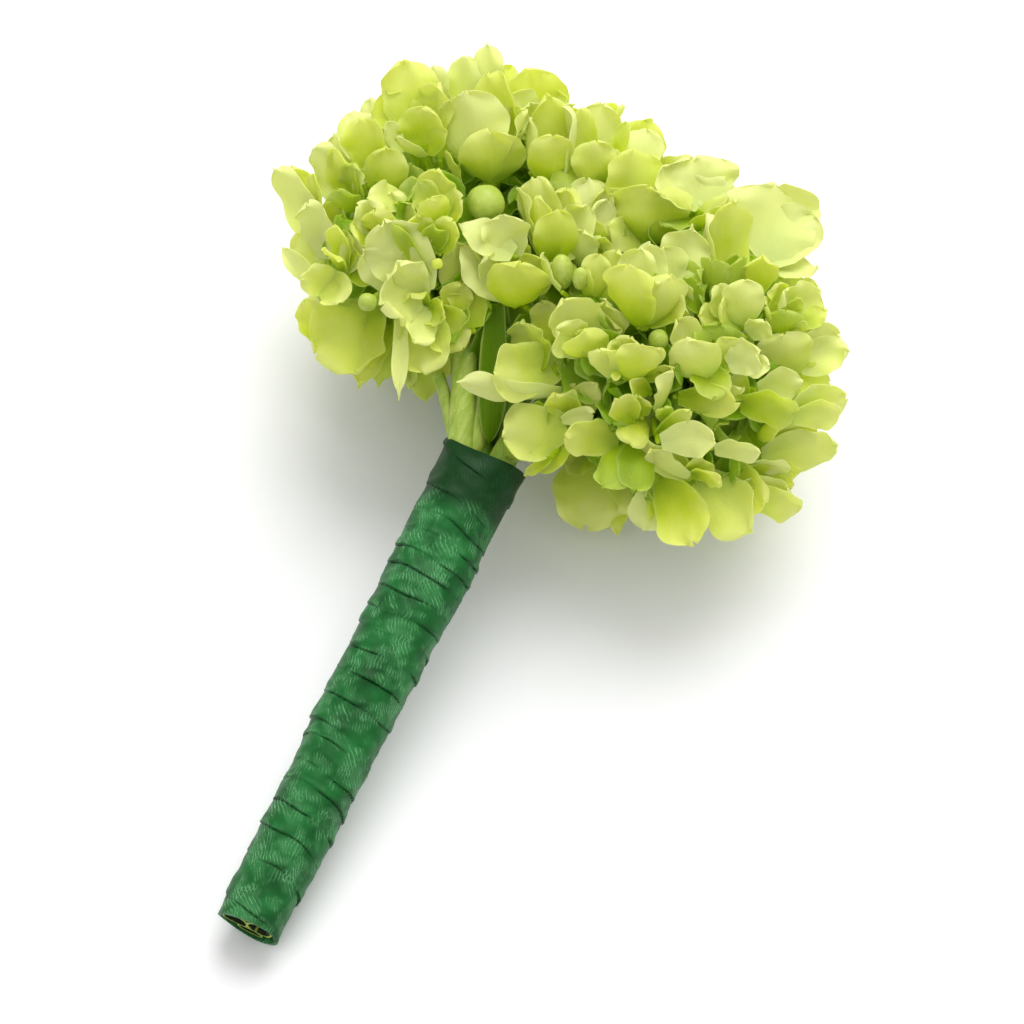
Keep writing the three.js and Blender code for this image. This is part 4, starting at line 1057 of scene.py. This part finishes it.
# Buds: closed sepals meeting in four seams, with a small point on top. foot, radius: where a bud
# starts, as seen, and how thick it is. length: its height by its radius. sink: how far it lies
# behind the frame's own. lean: how far it turns to the top of the picture. starts: how much lower
# than its foot it begins, by its radius
bud = {"sides": 24, "rings": 16, "seams": 4, "seam": 0.03, "point": 0.06, "starts": 0.2,
       "stalkBehind": 0.75, "stalkUp": 0.3, "lean": 0.5, "tone": 0.3}
buds = {
    "left_bud_01": {"foot": (483, 213), "radius": 2.4, "length": 1.8, "sink": 0.5},
    "left_bud_02": {"foot": (372, 304), "radius": 1.15, "length": 2.2, "sink": 0.0},
    "middle_bud_01": {"foot": (580, 288), "radius": 0.95, "length": 3.2, "sink": -2.5, "lean": 1.6,
                      "tone": 0.6},
    "middle_bud_02": {"foot": (564, 286), "radius": 1.4, "length": 3.4, "sink": -2.5, "lean": 1.6,
                      "tone": 0.6},
    "right_bud_01": {"foot": (658, 345), "radius": 1.25, "length": 2.4, "sink": 4.0},
    "right_bud_02": {"foot": (700, 388), "radius": 1.1, "length": 2.2, "sink": 5.0},
}


def makeBud(name, look):
    rng = random.Random(name)
    centre, facing, reach = placeOf(name)
    top, radius = centre + facing * reach, look["radius"]
    base = seenAt(*look["foot"], (top - tapeEnd) @ seenTowards - look["sink"] - radius)
    shares = np.linspace(0.01, 0.99, bud["rings"])
    heights = (0.5 - 0.5 * np.cos(shares * math.pi)) * radius * look["length"]
    heights += bud["point"] * shares ** 12
    radii = np.sin(shares * math.pi) ** 0.9 * radius
    piece = newPiece()
    upwards = unit(facing + seenUp * look.get("lean", bud["lean"]))
    path = base + np.outer(heights - bud["starts"] * radius, upwards)
    rings = ringsAlong(path, radii, bud["sides"], bud["seams"], bud["seam"], rng.uniform(0, 3))
    addTube(piece, rings, 0.5, 0.0, look.get("tone", bud["tone"]))
    # its stalk comes up out of sight, behind it
    behind = base + upwards * (bud["stalkUp"] * look["length"] - bud["starts"]) * radius
    behind -= seenTowards * radius * bud["stalkBehind"]
    addStalk(piece, centre + facing * handle["knuckle"], behind, stalk["budRadii"], rng)
    finishPiece(piece, f"closed_{name}", budMaterial, [name])


for name, look in buds.items():
    makeBud(name, look)
print("buds made")

# Tape: one strip wound from the cut end to the head. laps: how far from the cut end each turn's
# free edge crosses the viewer's side. shift, lift, lumps: waves that move the turns, lift their
# edges and swell the handle, each as turns round it, radians for a millimetre along it, and size
tape = {
    "laps": (-4.0, 1.2, 7.5, 11.5, 14.8, 18.2, 20.4, 24.2, 26.0, 29.8, 33.4, 36.8, 39.8, 42.4, 45.2,
             48.4, 50.6, 53.2, 55.7, 58.4, 63.0, 70.0, 77.0),
    "shift": [(1, 0.1, 0.3), (2, -0.17, 0.22), (3, 0.23, 0.12), (5, 0.4, 0.06)],
    "lift": [(1, 0.37, 1), (2, -0.53, 1), (3, 0.81, 0.8)],
    "lumps": [(1, 0.21, 0.09), (2, 0.33, 0.08), (3, -0.5, 0.06), (5, 0.9, 0.035), (4, -1.3, 0.04),
              (7, 1.9, 0.022), (9, -2.6, 0.014)],
    "step": 0.38, "stepLeast": 0.25,    # how far a free edge stands off, and the least share of it
    "stepFade": 1.6,    # how far behind the edge that is felt
    "folds": 0.06,
    "thinner": 0.12,    # how far the tape lies inside the frame's own, before its edges and lumps
    "wall": 0.45, "rows": 520, "sides": 160, "insideStep": 20, "endZone": 2,
    # edge: the dark line under a free edge is painted shade
    "edge": 0.085,    # how wide the dark line under a free edge is
    "notch": 0.13,    # how deep it is
    "opened": 0.9,    # how much shorter the viewer's side is at the cut
    "slanted": 4.0,    # how far up the handle that slant is felt
    # how uneven the ends are: the slant and dip at the head, the slant at the cut, and how far each
    # is felt
    "headSlant": 0.25, "headDip": 0.55, "headFelt": 5, "cutUneven": 0.2, "cutFelt": 4,
}


# Tape and stems are cut together, on a slant that opens them to the viewer
def cutSlant(points):
    offset = points - cutEnd
    inHandle = offset @ handleAxis
    across = unit(seenTowards - (seenTowards @ handleAxis) * handleAxis)
    rise = tape["opened"] * np.maximum(offset @ across, 0) / handle["cutRadius"]
    rise = rise * np.clip((tape["slanted"] - inHandle) / tape["slanted"], 0, 1)
    return points + rise[..., None] * handleAxis


# Stems: ribbed, hollow at the cut, thickest where they leave the tape. knot: the ball where a
# stem's stalks spread. The inside of each hollow is painted nearly black, as painted shade
stem = {"sides": 20, "ribs": 7, "ribDepth": 0.03, "radiusAtCut": 1.75, "radiusInNeck": 1.8,
        "radiusAtKnot": 2.25, "hollow": 1.5, "hollowEnd": 0.45, "hollowDepth": 9.0,
        "spreadAtHead": 2.6, "neckStraight": 9.0, "handleSteps": 12, "neckSteps": 16, "inset": 0.25,
        # tones, toneAtCut: how deep a green each stem is painted along its length, deeper as painted
        # shade where it lies in shade
        "tones": {"left": 0.75, "middle": 0.12, "right": 0.3}, "toneAtCut": 0.4, "toneInside": -0.5}
knot = {"rings": 12, "sides": 20, "ribs": 5, "ribDepth": 0.06, "tone": 0.5}


# From the cut end straight up the handle, then in one bend to the middle of a head
def stemPath(start, hub):
    aside = start - cutEnd
    aside = unit(aside - (aside @ handleAxis) * handleAxis)
    start = start - handleAxis * ((start - cutEnd) @ handleAxis - stem["inset"])
    leave = tapeEnd + aside * stem["spreadAtHead"]
    guide = leave + handleAxis * stem["neckStraight"]
    path = [start + (leave - start) * share for share in np.linspace(0, 1, stem["handleSteps"])[:-1]]
    for t in np.linspace(0, 1, stem["neckSteps"]):
        path.append(leave * (1 - t) ** 2 + guide * 2 * t * (1 - t) + hub * t * t)
    return np.array(path)


def makeStem(hubName, hub):
    points = nodePoints(f"{hubName}_stem")
    lengthwise = points @ handleAxis
    outer = stemPath(points[lengthwise < lengthwise.min() + handle["flat"]].mean(axis=0), hub)
    shares = np.linspace(0, 1, len(outer))
    radii = stem["radiusAtCut"] + (stem["radiusInNeck"] - stem["radiusAtCut"]) * shares
    radii[-1] = stem["radiusAtKnot"]
    deep = stem["hollowDepth"]
    inner = [outer[0] + handleAxis * depth for depth in (0.0, 0.1, 0.5, 0.5 * deep, 0.95 * deep, deep)]
    innerRadii = [stem["hollow"]] * (len(inner) - 1) + [stem["hollowEnd"]]
    rings = cutSlant(np.concatenate([
        ringsAlong(inner, innerRadii, stem["sides"])[::-1],
        ringsAlong(outer, radii, stem["sides"], stem["ribs"], stem["ribDepth"]),
    ]))
    tones = stem["toneAtCut"] + (stem["tones"][hubName] - stem["toneAtCut"]) * shares
    # painted shade: the inside of the hollow is painted dark
    inside = np.full(len(inner) - 1, stem["toneInside"])
    piece = newPiece()
    addTube(piece, rings, 0.5, 0.0, np.concatenate([inside, tones[:1], tones])[:, None])
    shares = np.linspace(0.02, 0.98, knot["rings"])
    path = hub + np.outer(-np.cos(shares * math.pi) * handle["knuckle"], handleAxis)
    radii = np.sin(shares * math.pi) ** 0.85 * handle["knuckle"]
    rings = ringsAlong(path, radii, knot["sides"], knot["ribs"], knot["ribDepth"])
    addTube(piece, rings, 0.5, 0.0, knot["tone"])
    finishPiece(piece, f"cut_{hubName}_stem", stemMaterial, [f"{hubName}_stem"])


for hubName, hub in hubs.items():
    makeStem(hubName, hub)

# Side stems that leave the tape between the three: where each starts and ends, as seen, and how
# many millimetres it bows to the right. Their tone paints those that lie in shade deep green, as
# painted shade
sideSteps = 14
sideStems = [
    {"start": (460, 470), "end": (468, 290), "depths": (2.0, -2.0), "radii": (1.8, 1.4), "bow": 0.0,
     "tone": 0.8},
    {"start": (480, 480), "end": (486, 300), "depths": (0.5, -5.0), "radii": (1.6, 1.4), "bow": 0.0,
     "tone": 0.05},
    {"start": (497, 484), "end": (512, 392), "depths": (0.0, -1.0), "radii": (1.5, 1.1), "bow": 0.4,
     "tone": 0.2},
    {"start": (456, 446), "end": (438, 374), "depths": (0.5, -1.0), "radii": (0.95, 0.75), "bow": 0.2,
     "tone": 0.7},
]


def makeSideStem(number, side):
    shares = np.linspace(0, 1, sideSteps)[:, None]
    first, last = seenAt(*side["start"], side["depths"][0]), seenAt(*side["end"], side["depths"][1])
    path = first + (last - first) * shares + asSeen(side["bow"], 0, 0) * np.sin(shares * math.pi)
    radii = side["radii"][0] + (side["radii"][1] - side["radii"][0]) * shares[:, 0]
    piece = newPiece()
    rings = ringsAlong(path, radii, stem["sides"], stem["ribs"], stem["ribDepth"])
    addTube(piece, rings, 0.5, 0.0, side["tone"])
    finishPiece(piece, f"side_stem_{number:02d}", stemMaterial)


for number, side in enumerate(sideStems, 1):
    makeSideStem(number, side)
print("stems made")


def waves(angle, y, rng, terms):
    return sum(np.sin(angle * k + y * f + rng.uniform(0, 6.28)) * size for k, f, size in terms)


# The tape's outer radius for each place along and round it, and how near each is to a free edge
def tapeSurface():
    y = np.linspace(0, tapeLength, tape["rows"])[:, None]
    angle = (np.arange(tape["sides"]) / tape["sides"] * 2 * math.pi)[None, :]
    away = tapePoints - cutEnd
    away = np.linalg.norm(away - np.outer(away @ handleAxis, handleAxis), axis=1)
    lengthwise = (tapePoints - cutEnd) @ handleAxis
    atCut = away[lengthwise < tape["endZone"]].max()
    atHead = away[lengthwise > tapeLength - tape["endZone"]].max()
    rng = random.Random("tape")
    nearSide = math.atan2(seenTowards @ handleTop, seenTowards @ handleSide)
    shift = waves(angle, y, rng, tape["shift"])
    turns = np.interp(y + shift, tape["laps"], np.arange(len(tape["laps"])))
    lap = (turns - (angle - nearSide) / (2 * math.pi)) % 1
    pitch = np.interp(y, tape["laps"][:-1], np.diff(tape["laps"]))
    # how far each turn's free edge stands off comes and goes round the handle
    lifted = 0.5 + 0.5 * np.tanh(waves(angle, y, rng, tape["lift"]) * 1.2)
    stands = tape["step"] * (tape["stepLeast"] + (1 - tape["stepLeast"]) * lifted ** 1.5)
    height = stands * np.exp(-lap * pitch / tape["stepFade"])
    folds = tape["folds"] * np.sin(lap * 14 + angle * 5 + np.sin(angle * 3) * 2) * np.exp(-lap * 3)
    lumps = waves(angle, y, rng, tape["lumps"])
    radius = atCut + (atHead - atCut) * y / tapeLength - tape["thinner"] + height + folds + lumps
    edge = np.exp(-(lap * pitch / tape["edge"]) ** 2) + np.exp(-((1 - lap) * pitch / tape["edge"]) ** 2)
    edge = np.minimum(edge, 1) * np.clip(lifted * 1.9 - 0.35, 0, 1)
    return y, angle, radius - tape["notch"] * edge, edge, nearSide


def makeTape():
    y, angle, radius, edge, nearSide = tapeSurface()
    near = np.maximum(np.cos(angle - nearSide), 0)
    rim = tape["headSlant"] * np.sin(2 * angle + 1) - tape["headDip"] * near
    y = y + rim * np.clip((y - tapeLength + tape["headFelt"]) / tape["headFelt"], 0, 1)
    atCut = np.clip((tape["cutFelt"] - y) / tape["cutFelt"], 0, 1)
    y = y + tape["cutUneven"] * np.sin(angle * 2 + 1) * atCut
    around = np.cos(angle)[..., None] * handleSide + np.sin(angle)[..., None] * handleTop
    outer = cutEnd + y[..., None] * handleAxis + radius[..., None] * around
    inner = cutEnd + y[..., None] * handleAxis + (radius - tape["wall"])[..., None] * around
    inside = np.r_[tape["rows"] - 1:0:-tape["insideStep"], 0]
    rings = cutSlant(np.concatenate([outer, inner[inside]]))
    values = [np.concatenate([value, value[inside]]) for value in (y, angle * radius, edge)]
    piece = newPiece()
    index = np.arange(rings.shape[0] * rings.shape[1]).reshape(rings.shape[:2])
    index = index + addPoints(piece, rings, *values)
    below = np.roll(index, -1, axis=0)
    quads = np.stack([index, np.roll(index, -1, axis=1), np.roll(below, -1, axis=1), below], axis=-1)
    piece["faces"] += quads.reshape(-1, 4).tolist()
    finishPiece(piece, "wound_tape", tapeMaterial, ["tape_wrap"], sharpAngle=60)


makeTape()
print("tape made")

# Table, light and camera. Lengths are in metres, and keyFrom is up and right of straight above
stage = {"floor": 1.6, "floorColour": "#f4f4f4", "keySize": 0.7, "keyPower": 5.6,
         "keyDistance": 0.8, "keyFrom": (0.6, 0.2), "horizon": 0.42, "zenith": 1.05}


def makeFloor():
    half = stage["floor"] / 2
    mesh = bpy.data.meshes.new("floor")
    corners = [(-half, -half, 0), (half, -half, 0), (half, half, 0), (-half, half, 0)]
    mesh.from_pydata(corners, [], [(0, 1, 2, 3)])
    floor = bpy.data.objects.new("floor", mesh)
    bpy.context.scene.collection.objects.link(floor)
    material, node = newMaterial("mattWhiteCard")
    surface = node("BsdfDiffuse", {}, {"Color": stage["floorColour"]})
    node("OutputMaterial", {}, {"Surface": surface})
    mesh.materials.append(material)


# Puts a lamp or camera in the scene, facing against a direction, at a distance from what it is
# aimed at, in millimetres
def putFacing(name, data, aim, direction, distance):
    back = unit(direction)
    right = unit(np.cross(seenUp, back))
    columns = np.stack([right, np.cross(back, right), back], axis=1)
    placed = bpy.data.objects.new(name, data)
    bpy.context.scene.collection.objects.link(placed)
    position = Matrix.Translation(((aim + back * distance) * mm).tolist())
    placed.matrix_world = position @ Matrix(columns.tolist()).to_4x4()
    return placed


def makeLight():
    data = bpy.data.lights.new("softbox", "AREA")
    data.shape = "DISK"
    data.size = stage["keySize"]
    data.energy = stage["keyPower"]
    up, right = stage["keyFrom"]
    direction = np.array([0, 0, 1.0]) + unit(seenUp * [1, 1, 0]) * up + seenRight * right
    aim = (hubs["middle"] + hubs["left"]) / 2
    putFacing("softbox", data, aim, direction, stage["keyDistance"] / mm)


# A white sky, brighter above than at the horizon
def makeSky():
    world = bpy.data.worlds.new("studio")
    world.use_nodes = True
    node = functools.partial(addNode, world.node_tree)
    height = node("SeparateXYZ", {}, {0: node("TexCoord", {}, {}, "Generated")}, 2)
    brightness = node("MapRange", {}, {
        "Value": height, "To Min": stage["horizon"], "To Max": stage["zenith"]})
    background = world.node_tree.nodes["Background"]
    world.node_tree.links.new(brightness, background.inputs["Strength"])
    background.inputs["Color"].default_value = (1, 1, 1, 1)
    bpy.context.scene.world = world


def makeCamera():
    data = bpy.data.cameras.new("camera")
    data.lens = view["lens"]
    data.sensor_width = view["sensor"]
    data.clip_start = view["nearest"] * mm
    aim = tapeEnd + asSeen(view["aimRight"], view["aimUp"], 0)
    bpy.context.scene.camera = putFacing("camera", data, aim, seenTowards, view["distance"])


makeFloor()
makeLight()
makeSky()
makeCamera()
bpy.context.scene.view_settings.view_transform = "Standard"
print("stage set")
